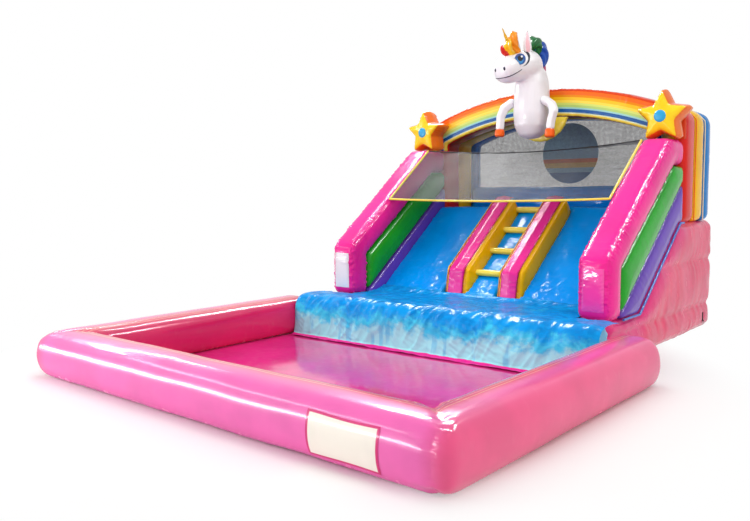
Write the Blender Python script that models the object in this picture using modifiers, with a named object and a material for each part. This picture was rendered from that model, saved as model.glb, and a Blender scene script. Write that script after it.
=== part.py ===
"""Inflatable water slide with a splash pool, modelled at full size.

Metres, +Z up. The origin lies on the ground and on the centreline, under the middle of the toe tube
where the pool meets the slide. The pool lies towards -Y and the slide climbs towards +Y. Every air
chamber is a closed solid with rounded edges, and neighbours keep a gap of 0.3 mm.
"""

import math

import bmesh
import bpy
from mathutils import Matrix, Vector

# Clearances, and the distance within which two points count as one
GAP = 0.0003
SEWN_CLEARANCE = 0.0005
NEARLY = 0.00001

# Splash pool
POOL_HALF_WIDTH = 2.285
POOL_WALL_WIDTH = 0.45
POOL_WALL_HEIGHT = 0.42
POOL_BASIN_LENGTH = 2.41
POOL_WALL_OVERRUN = 0.25
POOL_FLOOR_THICKNESS = 0.006
TUBE_SINK = 0.02
TUBE_SQUARENESS = 3.2
TUBE_POINTS = 20
MITRE_ROUND = 0.05

# Toe tube between the pool and the slide
TOE_WIDTH = 0.48
TOE_HEIGHT = 0.46

# Splash apron draped over the toe
APRON_THICKNESS = 0.004
APRON_CLEARANCE = 0.006
APRON_SHELF_BULGE = 0.01
APRON_FLARE_Z = 0.09
APRON_POST_CLEARANCE = 0.02
APRON_WALL_CLEARANCE = 0.003
APRON_FOLD_DEPTH = 0.022
APRON_FOLDS = 9
APRON_FOLD_WANDER = 0.9
APRON_FOLD_LEAN = 0.25
APRON_CALM_SHARE = 0.35
APRON_CALM_ROWS = 3
APRON_COLUMNS = 44
APRON_FLARE = 0.05
APRON_FOOT_Z = 0.014

# Slide base
BASE_HALF_WIDTH = 1.72
BASE_LENGTH = 2.945
BASE_SHELF_Z = 0.43
BASE_TOP_Z = 1.27
BASE_CREST_Y = 2.04
BASE_ROUND = 0.06
BASE_SEAM_HEIGHTS = (0.29, 0.82)
BASE_SEAM_DEPTH = 0.02
BASE_SEAM_HALF_WIDTH = 0.06
SLOPE_ANGLE = math.radians(37.4)

# Slide bed, deck and climbing lane
DECK_Z = 1.42
LANE_CREST_Y = 1.99
DECK_END_Y = 2.72
CLIMB_HALF_WIDTH = 0.18
RUNG_RADIUS = 0.037
RUNG_COUNT = 4
RUNG_FIRST_Y = 1.03
RUNG_PITCH = 0.298

# Dividers between the lanes
DIVIDER_WIDTH = 0.32
DIVIDER_HEIGHT = 0.18
DIVIDER_FOOT_Y = 0.785
DIVIDER_END_Y = 2.00
DIVIDER_CAP_THICKNESS = 0.03
DIVIDER_CAP_INSET = 0.055
DIVIDER_FRONT_SHARE = 0.045
DIVIDER_END_CHAMFER = 0.02
DIVIDER_ROUND = 0.05
DIVIDER_CAP_ROUND = 0.01

# Side walls
WALL_THICKNESS = 0.34
POST_DEPTH = 0.30
POST_TOP_Z = 1.02
WALL_CREST_Y = 1.74
WALL_TOP_Z = 2.16
CAP_LINE_FOOT_Z = 0.90
CAP_LINE_CREST_Y = 1.89
CAP_LINE_TOP_Z = 1.88
GREEN_LINE_FOOT_Z = 0.47
GREEN_LINE_TOP_Z = 1.69
CAP_ROUND = 0.07
BAND_ROUND = 0.04

# Arch over the deck
ARCH_FRONT_Y = 2.14
ARCH_RED_DEPTH = 0.35
ARCH_AMBER_DEPTH = 0.31
ARCH_BLUE_DEPTH = 0.24
ARCH_CROWN_Z = 2.84
ARCH_RADIUS = 4.0
ARCH_RING = 0.32
ARCH_SHOULDER = 0.12
ARCH_ROUND = 0.05
ARCH_STEPS = 12
ARCH_PANEL_THICKNESS = 0.012
PARAPET_TOP_Z = 1.68
PARAPET_END_Y = 3.03
PARAPET_ROUND = 0.06

# Safety nets
STRAND = 0.006
BINDING_RADIUS = 0.012
ROOF_NET_FOOT_Y = 0.95
ROOF_NET_SAG = 0.025
ARCH_NET_SAG = 0.07
NET_COLUMNS = 14
ROOF_NET_ROWS = 6
LEDGE_NET_ROWS = 2
ARCH_NET_ROWS = 2
REAR_NET_ROWS = 5
REAR_NET_Y = 2.90
REAR_DISC_RADIUS = 0.385
REAR_DISC_X = 0.03
REAR_DISC_Z = 2.10
REAR_DISC_THICKNESS = 0.006

# Stars on the wall caps
STAR_RADIUS = 0.295
STAR_WAIST = 0.15
STAR_THICKNESS = 0.29
STAR_ROUND = 0.035

# Unicorn in front of the arch
UNICORN_Y = 1.92
BODY_FOOT_Z = 2.285
BODY_HEIGHT = 0.84
BODY_RADIUS = 0.215
BODY_STEPS = 20
HEAD_RADIUS = 0.19
SNOUT_LENGTH = 0.425
HEAD_STEPS = 16
EAR_RADIUS = 0.045
EAR_LENGTH = 0.30
EAR_SPREAD = 0.08
EAR_LEAN = 0.2
EAR_STEPS = 10
HORN_LENGTH = 0.32
HORN_RADIUS = 0.035
HORN_AHEAD = 0.16
HORN_LEAN = 0.35
HORN_STEPS = 10
LOCK_RADIUS = 0.085
MANE_RADIUS = 0.065
ARM_RADIUS = 0.058
WRIST_X = 0.33
WRIST_Z = 2.36
SHOULDER_Z = 2.67
ARM_REACH = 0.17
HOOF_RADIUS = 0.062
HOOF_LENGTH = 0.085
HOOF_STEPS = 10
BACKING_RADIUS = 0.335
BACKING_Z = 2.58

# Printed panels, with nothing printed on them
PANEL_THICKNESS = 0.003
NOTICE_X = 1.50
NOTICE_WIDTH = 0.60
NOTICE_FACETS = 3
POST_PANEL_WIDTH = 0.22
POST_PANEL_FOOT_Z = 0.52
POST_PANEL_TOP_Z = 0.93

# Anchor points
ANCHOR_Y = 2.90
ANCHOR_PIVOT_Z = 0.095
RING_WIRE_RADIUS = 0.003
RING_WIDTH = 0.052
RING_DROP = 0.042
RING_SHOULDER = 0.015
TAB_WIDTH = 0.034
TAB_THICKNESS = 0.002
TAB_HEIGHT = 0.10
TAB_BORE_CLEARANCE = 0.001

# Air inlet and deflation zip on the rear face
SLEEVE_RADIUS = 0.14
SLEEVE_WALL = 0.012
SLEEVE_LENGTH = 0.12
SLEEVE_X = 0.95
SLEEVE_Z = 0.56
ZIP_X = -0.95
ZIP_LENGTH = 0.50
ZIP_Z = 0.15
ZIP_WIDTH = 0.05
ZIP_THICKNESS = 0.002
SLIDER_LENGTH = 0.030
SLIDER_HEIGHT = 0.018
SLIDER_DEPTH = 0.010
SLIDER_NOSE_SHARE = 0.7

# Colours, roughness and metallic value of each finish
PINK = ((0.93, 0.03, 0.34), 0.22, 0.0)
POOL_PINK = ((0.93, 0.09, 0.30), 0.20, 0.0)
POOL_FLOOR = ((0.70, 0.04, 0.25), 0.18, 0.0)
BLUE = ((0.01, 0.24, 0.78), 0.20, 0.0)
AMBER = ((0.98, 0.55, 0.01), 0.25, 0.0)
PALE_YELLOW = ((0.93, 0.70, 0.06), 0.30, 0.0)
GREEN = ((0.02, 0.38, 0.02), 0.25, 0.0)
PURPLE = ((0.07, 0.02, 0.40), 0.25, 0.0)
RED = ((0.70, 0.02, 0.02), 0.25, 0.0)
ORANGE = ((0.98, 0.18, 0.01), 0.25, 0.0)
WHITE = ((0.90, 0.90, 0.92), 0.30, 0.0)
CREAM = ((0.90, 0.82, 0.66), 0.35, 0.0)
GOLD = ((0.80, 0.55, 0.06), 0.30, 0.0)
SKY = ((0.25, 0.60, 0.80), 0.40, 0.0)
BLACK = ((0.02, 0.02, 0.022), 0.60, 0.0)
STEEL = ((0.62, 0.63, 0.65), 0.30, 1.0)

# Edges sharper than this are rounded
ROUNDED_FROM = math.radians(44)

# Places that follow from the sizes
RISE = math.tan(SLOPE_ANGLE)
SLOPE_FOOT_Y = BASE_CREST_Y - (BASE_TOP_Z - BASE_SHELF_Z) / RISE
WALL_INNER_X = BASE_HALF_WIDTH - WALL_THICKNESS
TOE_FRONT_Y = -TOE_WIDTH / 2
BASE_FRONT_Y = TOE_WIDTH / 2
BASE_REAR_Y = BASE_FRONT_Y + BASE_LENGTH
BASIN_FRONT_Y = TOE_FRONT_Y - POOL_BASIN_LENGTH
POOL_FRONT_Y = BASIN_FRONT_Y - POOL_WALL_WIDTH
POOL_INNER_X = POOL_HALF_WIDTH - POOL_WALL_WIDTH
POST_REAR_Y = BASE_FRONT_Y + POST_DEPTH
ARCH_REAR_Y = ARCH_FRONT_Y + ARCH_RED_DEPTH + ARCH_AMBER_DEPTH + ARCH_BLUE_DEPTH
ARCH_CENTRE_Z = ARCH_CROWN_Z - ARCH_RADIUS
PANEL_FRONT_Y = ARCH_FRONT_Y - GAP - ARCH_PANEL_THICKNESS
CAP_RISE = (WALL_TOP_Z - POST_TOP_Z) / (WALL_CREST_Y - BASE_FRONT_Y)
CAP_ANGLE = math.atan(CAP_RISE)
DIVIDER_INNER_X = CLIMB_HALF_WIDTH + GAP
DIVIDER_OUTER_X = CLIMB_HALF_WIDTH + DIVIDER_WIDTH
HEAD_MIDDLE = Vector((-0.045, UNICORN_Y - 0.12, BODY_FOOT_Z + 0.945 * BODY_HEIGHT))
HEAD_LOOK = Vector((-0.17, -0.95, -0.25)).normalized()
HEAD_SIDE = HEAD_LOOK.cross(Vector((0, 0, 1))).normalized()
HEAD_CROWN = HEAD_SIDE.cross(HEAD_LOOK)

for leftover in list(bpy.data.objects):
    bpy.data.objects.remove(leftover)

parts = bpy.data.collections.new("inflatable_slide")
cutters = bpy.data.collections.new("cutters")
bpy.context.scene.collection.children.link(parts)
bpy.context.scene.collection.children.link(cutters)


def material(name, finish):
    colour, roughness, metallic = finish
    made = bpy.data.materials.new(name)
    made.use_nodes = True
    shader = made.node_tree.nodes["Principled BSDF"]
    shader.inputs["Base Color"].default_value = (*colour, 1.0)
    shader.inputs["Roughness"].default_value = roughness
    shader.inputs["Metallic"].default_value = metallic
    made.diffuse_color = (*colour, 1.0)
    return made


def part(name, shape, finish):
    """A named sub-part with a material of its own; a cutter has no finish and stays out of the model."""
    if isinstance(shape, bmesh.types.BMesh):
        mesh = bpy.data.meshes.new(name)
        shape.to_mesh(mesh)
        shape.free()
        mesh.shade_smooth()
        mesh.set_sharp_from_angle(angle=math.radians(35))
        shape = mesh
    made = bpy.data.objects.new(name, shape)
    if finish is None:
        cutters.objects.link(made)
        made.hide_render = True
        made.display_type = "WIRE"
    else:
        parts.objects.link(made)
        shape.materials.append(material(name, finish))
    return made


def rounded(name, shape, finish, width):
    """A sub-part whose sharp outer edges are rounded; its inner corners stay as they are."""
    weight = shape.edges.layers.float.new("bevel_weight_edge")
    for edge in shape.edges:
        if edge.is_convex and edge.calc_face_angle() > ROUNDED_FROM:
            edge[weight] = 1.0
    made = part(name, shape, finish)
    bevel = made.modifiers.new("rounded_edges", "BEVEL")
    bevel.width = width
    bevel.segments = 2
    bevel.limit_method = "WEIGHT"
    return made


def cut(target, cutter):
    boolean = target.modifiers.new("cut_by_" + cutter.name, "BOOLEAN")
    boolean.operation = "DIFFERENCE"
    boolean.object = cutter


def on_axis(axis, along, first, second):
    """A point from its place along an axis and its two places across it, in X, Y, Z order."""
    if axis == "X":
        return Vector((along, first, second))
    if axis == "Y":
        return Vector((first, along, second))
    return Vector((first, second, along))


def prism(outline, axis, low, high):
    """A flat outline pushed along an axis from low to high."""
    shape = bmesh.new()
    face = shape.faces.new([shape.verts.new(on_axis(axis, low, *point)) for point in outline])
    pushed = bmesh.ops.extrude_face_region(shape, geom=[face])["geom"]
    moved = [element for element in pushed if isinstance(element, bmesh.types.BMVert)]
    bmesh.ops.translate(shape, verts=moved, vec=on_axis(axis, high - low, 0, 0))
    bmesh.ops.recalc_face_normals(shape, faces=shape.faces)
    return shape


def trim(shape, point, normal):
    """Removes what lies past a plane, on the normal's side, and closes the cut."""
    everything = [*shape.verts, *shape.edges, *shape.faces]
    done = bmesh.ops.bisect_plane(
        shape, geom=everything, plane_co=point, plane_no=normal, clear_outer=True
    )
    rim = [element for element in done["geom_cut"] if isinstance(element, bmesh.types.BMEdge)]
    bmesh.ops.contextual_create(shape, geom=rim)
    bmesh.ops.recalc_face_normals(shape, faces=shape.faces)


def tube_section(width, height, grow=0.0):
    """Outline of an inflated tube on the ground: a squarish ellipse with a flat foot."""
    half = width / 2 + grow
    rise = (height + TUBE_SINK) / 2 + grow
    middle = (height - TUBE_SINK) / 2
    points = []
    for step in range(TUBE_POINTS):
        angle = 2 * math.pi * step / TUBE_POINTS
        across = math.copysign(abs(math.cos(angle)) ** (2 / TUBE_SQUARENESS), math.cos(angle))
        up = math.copysign(abs(math.sin(angle)) ** (2 / TUBE_SQUARENESS), math.sin(angle))
        points.append((half * across, max(middle + rise * up, 0.0)))
    return points


def foot_half_width(width, height, level):
    """How far a tube on the ground reaches to each side at a low level."""
    quarter = [point for point in tube_section(width, height) if point[0] > 0 and point[1] < height / 2]
    quarter.sort(key=lambda point: (point[1], point[0]))
    for (low_x, low_z), (high_x, high_z) in zip(quarter, quarter[1:]):
        if high_z > level:
            return low_x + (high_x - low_x) * (level - low_z) / (high_z - low_z)
    return width / 2


def build_pool():
    front_middle_y = POOL_FRONT_Y + POOL_WALL_WIDTH / 2
    section = tube_section(POOL_WALL_WIDTH, POOL_WALL_HEIGHT)
    placed = [(front_middle_y + across, up) for across, up in section]
    front = prism(placed, "X", -POOL_HALF_WIDTH, POOL_HALF_WIDTH)
    for side in (-1, 1):
        corner = Vector((side * POOL_HALF_WIDTH, POOL_FRONT_Y - GAP, 0))
        trim(front, corner, Vector((side, 1, 0)).normalized())
    rounded("pool_wall_front", front, POOL_PINK, MITRE_ROUND)

    rear_y = TOE_FRONT_Y + POOL_WALL_OVERRUN
    for side, name in ((-1, "pool_wall_left"), (1, "pool_wall_right")):
        middle_x = side * (POOL_HALF_WIDTH - POOL_WALL_WIDTH / 2)
        placed = [(middle_x + across, up) for across, up in section]
        wall = prism(placed, "Y", POOL_FRONT_Y, rear_y)
        corner = Vector((side * POOL_HALF_WIDTH, POOL_FRONT_Y + GAP, 0))
        trim(wall, corner, Vector((-side, -1, 0)).normalized())
        rounded(name, wall, POOL_PINK, MITRE_ROUND)

    reach = foot_half_width(POOL_WALL_WIDTH, POOL_WALL_HEIGHT, POOL_FLOOR_THICKNESS) + SEWN_CLEARANCE
    toe_reach = foot_half_width(TOE_WIDTH, TOE_HEIGHT, POOL_FLOOR_THICKNESS) + SEWN_CLEARANCE
    edge_x = POOL_HALF_WIDTH - POOL_WALL_WIDTH / 2 - reach
    front_y = front_middle_y + reach
    outline = [(-edge_x, front_y), (edge_x, front_y), (edge_x, -toe_reach), (-edge_x, -toe_reach)]
    part("pool_floor", prism(outline, "Z", 0.0, POOL_FLOOR_THICKNESS), POOL_FLOOR)


def build_notice_panel():
    """A bare printed panel, wrapped on the outer side of the front pool wall."""
    middle_y = POOL_FRONT_Y + POOL_WALL_WIDTH / 2
    inner = tube_section(POOL_WALL_WIDTH, POOL_WALL_HEIGHT, GAP)
    outer = tube_section(POOL_WALL_WIDTH, POOL_WALL_HEIGHT, GAP + PANEL_THICKNESS)
    middle = TUBE_POINTS // 2
    covered = range(middle - NOTICE_FACETS, middle + NOTICE_FACETS + 1)
    outline = [(middle_y + inner[i][0], inner[i][1]) for i in covered]
    outline += [(middle_y + outer[i][0], outer[i][1]) for i in reversed(covered)]
    low = NOTICE_X - NOTICE_WIDTH / 2
    part("notice_panel", prism(outline, "X", low, low + NOTICE_WIDTH), CREAM)


def build_toe():
    section = tube_section(TOE_WIDTH - 2 * GAP, TOE_HEIGHT)
    reach = BASE_HALF_WIDTH - GAP
    part("toe_tube", prism(section, "X", -reach, reach), BLUE)


def apron_path():
    """The apron's section from its rear edge, over the toe tube, down to the pool floor."""
    offset = APRON_CLEARANCE + APRON_THICKNESS
    over_toe = tube_section(TOE_WIDTH, TOE_HEIGHT, offset)
    front_half = [point for point in over_toe if point[0] < TOE_WIDTH / 5 and point[1] > TOE_HEIGHT / 3]
    rear_y = LANE_CREST_Y - (DECK_Z - BASE_SHELF_Z) / RISE - 2 * offset
    rear_z = BASE_SHELF_Z + SEWN_CLEARANCE + APRON_THICKNESS / 2
    middle_z = BASE_SHELF_Z + offset
    front_y = TOE_FRONT_Y - offset - APRON_THICKNESS
    path = [
        (rear_y, rear_z),
        ((rear_y + BASE_FRONT_Y) / 2, middle_z),
        (BASE_FRONT_Y + BASE_ROUND / 3, middle_z + APRON_SHELF_BULGE),
    ]
    path += front_half
    path += [(front_y, APRON_FLARE_Z), (front_y - APRON_FLARE, APRON_FOOT_Z)]
    return path


def build_apron():
    """A loose sheet whose folds run down the toe's front; only outward, so it stays clear of the tube."""
    path = apron_path()
    shape = bmesh.new()
    inner_x = WALL_INNER_X - APRON_POST_CLEARANCE
    outer_x = POOL_INNER_X - APRON_WALL_CLEARANCE
    bmesh.ops.create_grid(shape, x_segments=APRON_COLUMNS, y_segments=len(path) - 1, size=0.5)
    rows = len(path) - 1
    for vertex in shape.verts:
        row = round((0.5 - vertex.co.y) * rows)
        column = round((vertex.co.x + 0.5) * APRON_COLUMNS)
        share = (2 * column - APRON_COLUMNS) / (APRON_COLUMNS - 2)
        beyond_posts = column in (0, APRON_COLUMNS)
        x = math.copysign(outer_x, share) if beyond_posts else inner_x * share
        y, z = path[row]
        before, after = path[max(row - 1, 0)], path[min(row + 1, rows)]
        along = Vector((0, after[0] - before[0], after[1] - before[1])).normalized()
        outward = Vector((0, -along.z, along.y)) * -1
        phase = math.pi * APRON_FOLDS * share + APRON_FOLD_WANDER * math.sin(5 * share)
        wave = math.sin(phase + APRON_FOLD_LEAN * row)
        below_top = min(1.0, max(0.0, (row - APRON_CALM_ROWS) / 5))
        strength = 0.0 if row == 0 else APRON_CALM_SHARE + (1 - APRON_CALM_SHARE) * below_top
        lift = APRON_FOLD_DEPTH * strength * (0.5 + 0.5 * wave)
        if row == rows:
            outward = Vector((0, -1, 0))
        vertex.co = Vector((x, y, z)) + outward * lift
    beside_posts = [
        face
        for face in shape.faces
        if abs(face.calc_center_median().x) > inner_x and face.calc_center_median().y > TOE_WIDTH / 4
    ]
    bmesh.ops.delete(shape, geom=beside_posts, context="FACES")
    bmesh.ops.recalc_face_normals(shape, faces=shape.faces)
    apron = part("splash_apron", shape, BLUE)
    thick = apron.modifiers.new("sheet", "SOLIDIFY")
    thick.thickness = APRON_THICKNESS
    thick.offset = 0.0


def build_base():
    """The pressurised body under everything, with a drawn-in seam at each internal floor web."""
    outline = [
        (BASE_FRONT_Y, 0.0),
        (BASE_REAR_Y, 0.0),
        (BASE_REAR_Y, BASE_TOP_Z),
        (BASE_CREST_Y, BASE_TOP_Z),
        (SLOPE_FOOT_Y, BASE_SHELF_Z),
        (BASE_FRONT_Y, BASE_SHELF_Z),
    ]
    shape = prism(outline, "X", -BASE_HALF_WIDTH, BASE_HALF_WIDTH)
    for seam in BASE_SEAM_HEIGHTS:
        for level in (seam - BASE_SEAM_HALF_WIDTH, seam, seam + BASE_SEAM_HALF_WIDTH):
            everything = [*shape.verts, *shape.edges, *shape.faces]
            bmesh.ops.bisect_plane(shape, geom=everything, plane_co=(0, 0, level), plane_no=(0, 0, 1))
        for vertex in shape.verts:
            if abs(vertex.co.z - seam) > NEARLY:
                continue
            if abs(vertex.co.x) > BASE_HALF_WIDTH - NEARLY:
                vertex.co.x -= math.copysign(BASE_SEAM_DEPTH, vertex.co.x)
            if vertex.co.y > BASE_REAR_Y - NEARLY:
                vertex.co.y -= BASE_SEAM_DEPTH
    rounded("slide_base", shape, PINK, BASE_ROUND)


def lane_top(y):
    return DECK_Z - (LANE_CREST_Y - y) * RISE


def base_top(y):
    return BASE_TOP_Z - (BASE_CREST_Y - y) * RISE


def build_slide_bed():
    shelf = BASE_SHELF_Z + GAP
    foot_y = LANE_CREST_Y - (DECK_Z - shelf) / RISE
    end_y = LANE_CREST_Y - GAP
    outline = [
        (foot_y, shelf),
        (SLOPE_FOOT_Y - GAP, shelf),
        (end_y, base_top(end_y) + 2 * GAP),
        (end_y, lane_top(end_y)),
    ]
    lane_inner = DIVIDER_OUTER_X + GAP
    lane_outer = WALL_INNER_X - GAP
    beds = (
        ("lane_left", -lane_outer, -lane_inner),
        ("climb_lane", -CLIMB_HALF_WIDTH, CLIMB_HALF_WIDTH),
        ("lane_right", lane_inner, lane_outer),
    )
    for name, low, high in beds:
        part(name, prism(outline, "X", low, high), BLUE)

    deck = [
        (LANE_CREST_Y, BASE_TOP_Z + GAP),
        (DECK_END_Y - GAP, BASE_TOP_Z + GAP),
        (DECK_END_Y - GAP, DECK_Z),
        (LANE_CREST_Y, DECK_Z),
    ]
    part("deck", prism(deck, "X", -lane_outer, lane_outer), BLUE)

    seat = RUNG_RADIUS + GAP
    for index in range(RUNG_COUNT):
        y = RUNG_FIRST_Y + index * RUNG_PITCH
        middle = Vector((0, y - seat * math.sin(SLOPE_ANGLE), lane_top(y) + seat * math.cos(SLOPE_ANGLE)))
        half = Vector((CLIMB_HALF_WIDTH - SEWN_CLEARANCE, 0, 0))
        tube("rung_%d" % (index + 1), [middle - half, middle + half], RUNG_RADIUS, PALE_YELLOW)


def tube(name, points, radius, finish, sizes=None, closed=False, resolution=2):
    """A round tube through points, as a curve with filled ends, made a mesh with its ends welded."""
    curve = bpy.data.curves.new(name, "CURVE")
    curve.dimensions = "3D"
    curve.bevel_depth = radius
    curve.bevel_resolution = resolution
    curve.use_fill_caps = True
    spline = curve.splines.new("POLY")
    spline.points.add(len(points) - 1)
    spline.use_cyclic_u = closed
    for index, point in enumerate(points):
        spline.points[index].co = (*point, 1.0)
        spline.points[index].radius = sizes[index] if sizes else 1.0
    guide = bpy.data.objects.new(name + "_guide", curve)
    cutters.objects.link(guide)
    bpy.context.view_layer.update()
    ready = guide.evaluated_get(bpy.context.evaluated_depsgraph_get())
    mesh = bpy.data.meshes.new_from_object(ready)
    mesh.name = name
    bpy.data.objects.remove(guide)
    bpy.data.curves.remove(curve)
    shape = bmesh.new()
    shape.from_mesh(mesh)
    bpy.data.meshes.remove(mesh)
    bmesh.ops.remove_doubles(shape, verts=shape.verts, dist=0.0001)
    bmesh.ops.recalc_face_normals(shape, faces=shape.faces)
    return part(name, shape, finish)


def divider_outline(inset):
    """A divider's side outline: it starts at the apron, rises square to the lane and ends over the deck."""
    across = Vector((-math.sin(SLOPE_ANGLE), math.cos(SLOPE_ANGLE)))
    along = Vector((math.cos(SLOPE_ANGLE), math.sin(SLOPE_ANGLE)))
    foot = Vector((DIVIDER_FOOT_Y + inset, BASE_SHELF_Z + 2 * GAP))
    height = DIVIDER_HEIGHT - inset
    top_end_y = DIVIDER_END_Y - inset
    lower = Vector((top_end_y, lane_top(LANE_CREST_Y))) + across * height
    reach = (lower.x - foot.x) / along.x
    shoulder = lower - along * (reach * (1 - DIVIDER_FRONT_SHARE))
    return foot, shoulder, lower, top_end_y


def build_dividers():
    rest_y = LANE_CREST_Y - 2 * GAP
    deck_z = DECK_Z + GAP
    foot, shoulder, crest, end_y = divider_outline(0.0)
    core_foot, core_shoulder, core_crest, core_end_y = divider_outline(DIVIDER_CAP_THICKNESS)
    core = [
        (core_foot.x, core_foot.y),
        (SLOPE_FOOT_Y - GAP, core_foot.y),
        (rest_y, base_top(rest_y) + 2 * GAP),
        (rest_y, deck_z),
        (core_end_y, deck_z),
        (core_crest.x, core_crest.y),
        (core_shoulder.x, core_shoulder.y),
    ]
    edge = GAP * 2
    cap = [
        (foot.x, foot.y),
        (core_foot.x - edge, foot.y),
        (core_shoulder.x - edge, core_shoulder.y + edge),
        (core_crest.x, core_crest.y + edge),
        (end_y, core_crest.y + edge),
        (end_y, crest.y - DIVIDER_END_CHAMFER),
        (crest.x - DIVIDER_END_CHAMFER, crest.y),
        (shoulder.x, shoulder.y),
    ]
    for side, word in ((-1, "left"), (1, "right")):
        low, high = sorted((side * DIVIDER_INNER_X, side * DIVIDER_OUTER_X))
        rounded("divider_core_" + word, prism(core, "X", low, high), AMBER, DIVIDER_ROUND)
        strip = prism(cap, "X", low + DIVIDER_CAP_INSET, high - DIVIDER_CAP_INSET)
        rounded("divider_cap_" + word, strip, PINK, DIVIDER_CAP_ROUND)


def build_walls():
    """Each side wall is a pink cap with its front post, over a green band and a purple band."""
    rear_y = ARCH_FRONT_Y - GAP
    base_z = BASE_SHELF_Z + GAP
    cap = [
        (BASE_FRONT_Y + GAP, base_z),
        (POST_REAR_Y, base_z),
        (POST_REAR_Y, CAP_LINE_FOOT_Z),
        (CAP_LINE_CREST_Y, CAP_LINE_TOP_Z),
        (rear_y, CAP_LINE_TOP_Z),
        (rear_y, WALL_TOP_Z),
        (WALL_CREST_Y, WALL_TOP_Z),
        (BASE_FRONT_Y + GAP, POST_TOP_Z),
    ]
    band_y = POST_REAR_Y + GAP
    green = [
        (band_y, GREEN_LINE_FOOT_Z + GAP),
        (rear_y, GREEN_LINE_TOP_Z + GAP),
        (rear_y, CAP_LINE_TOP_Z - GAP),
        (CAP_LINE_CREST_Y, CAP_LINE_TOP_Z - GAP),
        (band_y, CAP_LINE_FOOT_Z - 2 * GAP),
    ]
    purple = [
        (band_y, base_z),
        (SLOPE_FOOT_Y, base_z),
        (BASE_CREST_Y, BASE_TOP_Z + 2 * GAP),
        (rear_y, BASE_TOP_Z + 2 * GAP),
        (rear_y, GREEN_LINE_TOP_Z - GAP),
        (band_y, GREEN_LINE_FOOT_Z - GAP),
    ]
    for side, word in ((-1, "left"), (1, "right")):
        low, high = sorted((side * WALL_INNER_X, side * BASE_HALF_WIDTH))
        rounded("wall_cap_" + word, prism(cap, "X", low, high), PINK, CAP_ROUND)
        rounded("wall_green_" + word, prism(green, "X", low, high), GREEN, BAND_ROUND)
        rounded("wall_purple_" + word, prism(purple, "X", low, high), PURPLE, BAND_ROUND)

    panel_x = -(WALL_INNER_X + BASE_HALF_WIDTH) / 2
    half = POST_PANEL_WIDTH / 2
    face = [
        (panel_x - half, POST_PANEL_FOOT_Z),
        (panel_x + half, POST_PANEL_FOOT_Z),
        (panel_x + half, POST_PANEL_TOP_Z),
        (panel_x - half, POST_PANEL_TOP_Z),
    ]
    part("post_panel", prism(face, "Y", BASE_FRONT_Y - PANEL_THICKNESS, BASE_FRONT_Y), WHITE)


def arch_height(x, radius):
    return ARCH_CENTRE_Z + math.sqrt(radius * radius - x * x)


def faceted_ring_height(x):
    """The height of the ring's inner side, on the straight facets that it is made of."""
    pitch = 2 * WALL_INNER_X / ARCH_STEPS
    before = math.floor(x / pitch) * pitch
    after = min(before + pitch, WALL_INNER_X)
    low = arch_height(max(before, -WALL_INNER_X), ARCH_RADIUS - ARCH_RING)
    high = arch_height(after, ARCH_RADIUS - ARCH_RING)
    return low + (high - low) * (x - before) / pitch


def arch_outline(foot_z):
    """The arch's front outline: two legs joined by a ring, with a rounded shoulder at each outer corner."""
    inner_radius = ARCH_RADIUS - ARCH_RING
    inner = [
        (x, arch_height(x, inner_radius))
        for x in (WALL_INNER_X * (1 - 2 * step / ARCH_STEPS) for step in range(ARCH_STEPS + 1))
    ]
    reach = BASE_HALF_WIDTH - ARCH_SHOULDER
    outer = [
        (x, arch_height(x, ARCH_RADIUS))
        for x in (reach * (2 * step / ARCH_STEPS - 1) for step in range(ARCH_STEPS + 1))
    ]
    shoulder_z = arch_height(reach, ARCH_RADIUS) - ARCH_SHOULDER
    halfway = ARCH_SHOULDER * math.sqrt(0.5)
    left = [
        (-BASE_HALF_WIDTH, foot_z),
        (-BASE_HALF_WIDTH, shoulder_z),
        (-reach - halfway, shoulder_z + halfway),
    ]
    right = [(-x, z) for x, z in reversed(left)]
    return left + outer + right + [(WALL_INNER_X, foot_z)] + inner + [(-WALL_INNER_X, foot_z)]


def build_arch():
    leg_foot = arch_outline(BASE_TOP_Z + GAP)
    y = ARCH_FRONT_Y
    bands = (
        ("arch_red", ARCH_RED_DEPTH, RED),
        ("arch_amber", ARCH_AMBER_DEPTH, AMBER),
        ("arch_blue", ARCH_BLUE_DEPTH, BLUE),
    )
    for name, depth, finish in bands:
        rounded(name, prism(leg_foot, "Y", y, y + depth - GAP), finish, ARCH_ROUND)
        y += depth

    ring = prism(arch_outline(WALL_TOP_Z + GAP), "Y", PANEL_FRONT_Y, ARCH_FRONT_Y - GAP)
    part("rainbow_panel", ring, AMBER)

    pitch = 2 * WALL_INNER_X / ARCH_STEPS
    ring_points = (-BACKING_RADIUS, -pitch, 0.0, pitch, BACKING_RADIUS)
    lobe = [(x, faceted_ring_height(x) - 2 * GAP) for x in ring_points]
    lobe += [
        (BACKING_RADIUS * math.cos(angle), BACKING_Z - BACKING_RADIUS * math.sin(angle))
        for angle in (math.radians(degrees) for degrees in range(15, 166, 15))
    ]
    part("unicorn_backing", prism(lobe, "Y", PANEL_FRONT_Y, ARCH_FRONT_Y - GAP), PALE_YELLOW)

    parapet = [
        (DECK_END_Y, BASE_TOP_Z + GAP),
        (PARAPET_END_Y, BASE_TOP_Z + GAP),
        (PARAPET_END_Y, PARAPET_TOP_Z),
        (DECK_END_Y, PARAPET_TOP_Z),
    ]
    reach = WALL_INNER_X - GAP
    rounded("rear_parapet", prism(parapet, "X", -reach, reach), BLUE, PARAPET_ROUND)


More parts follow.
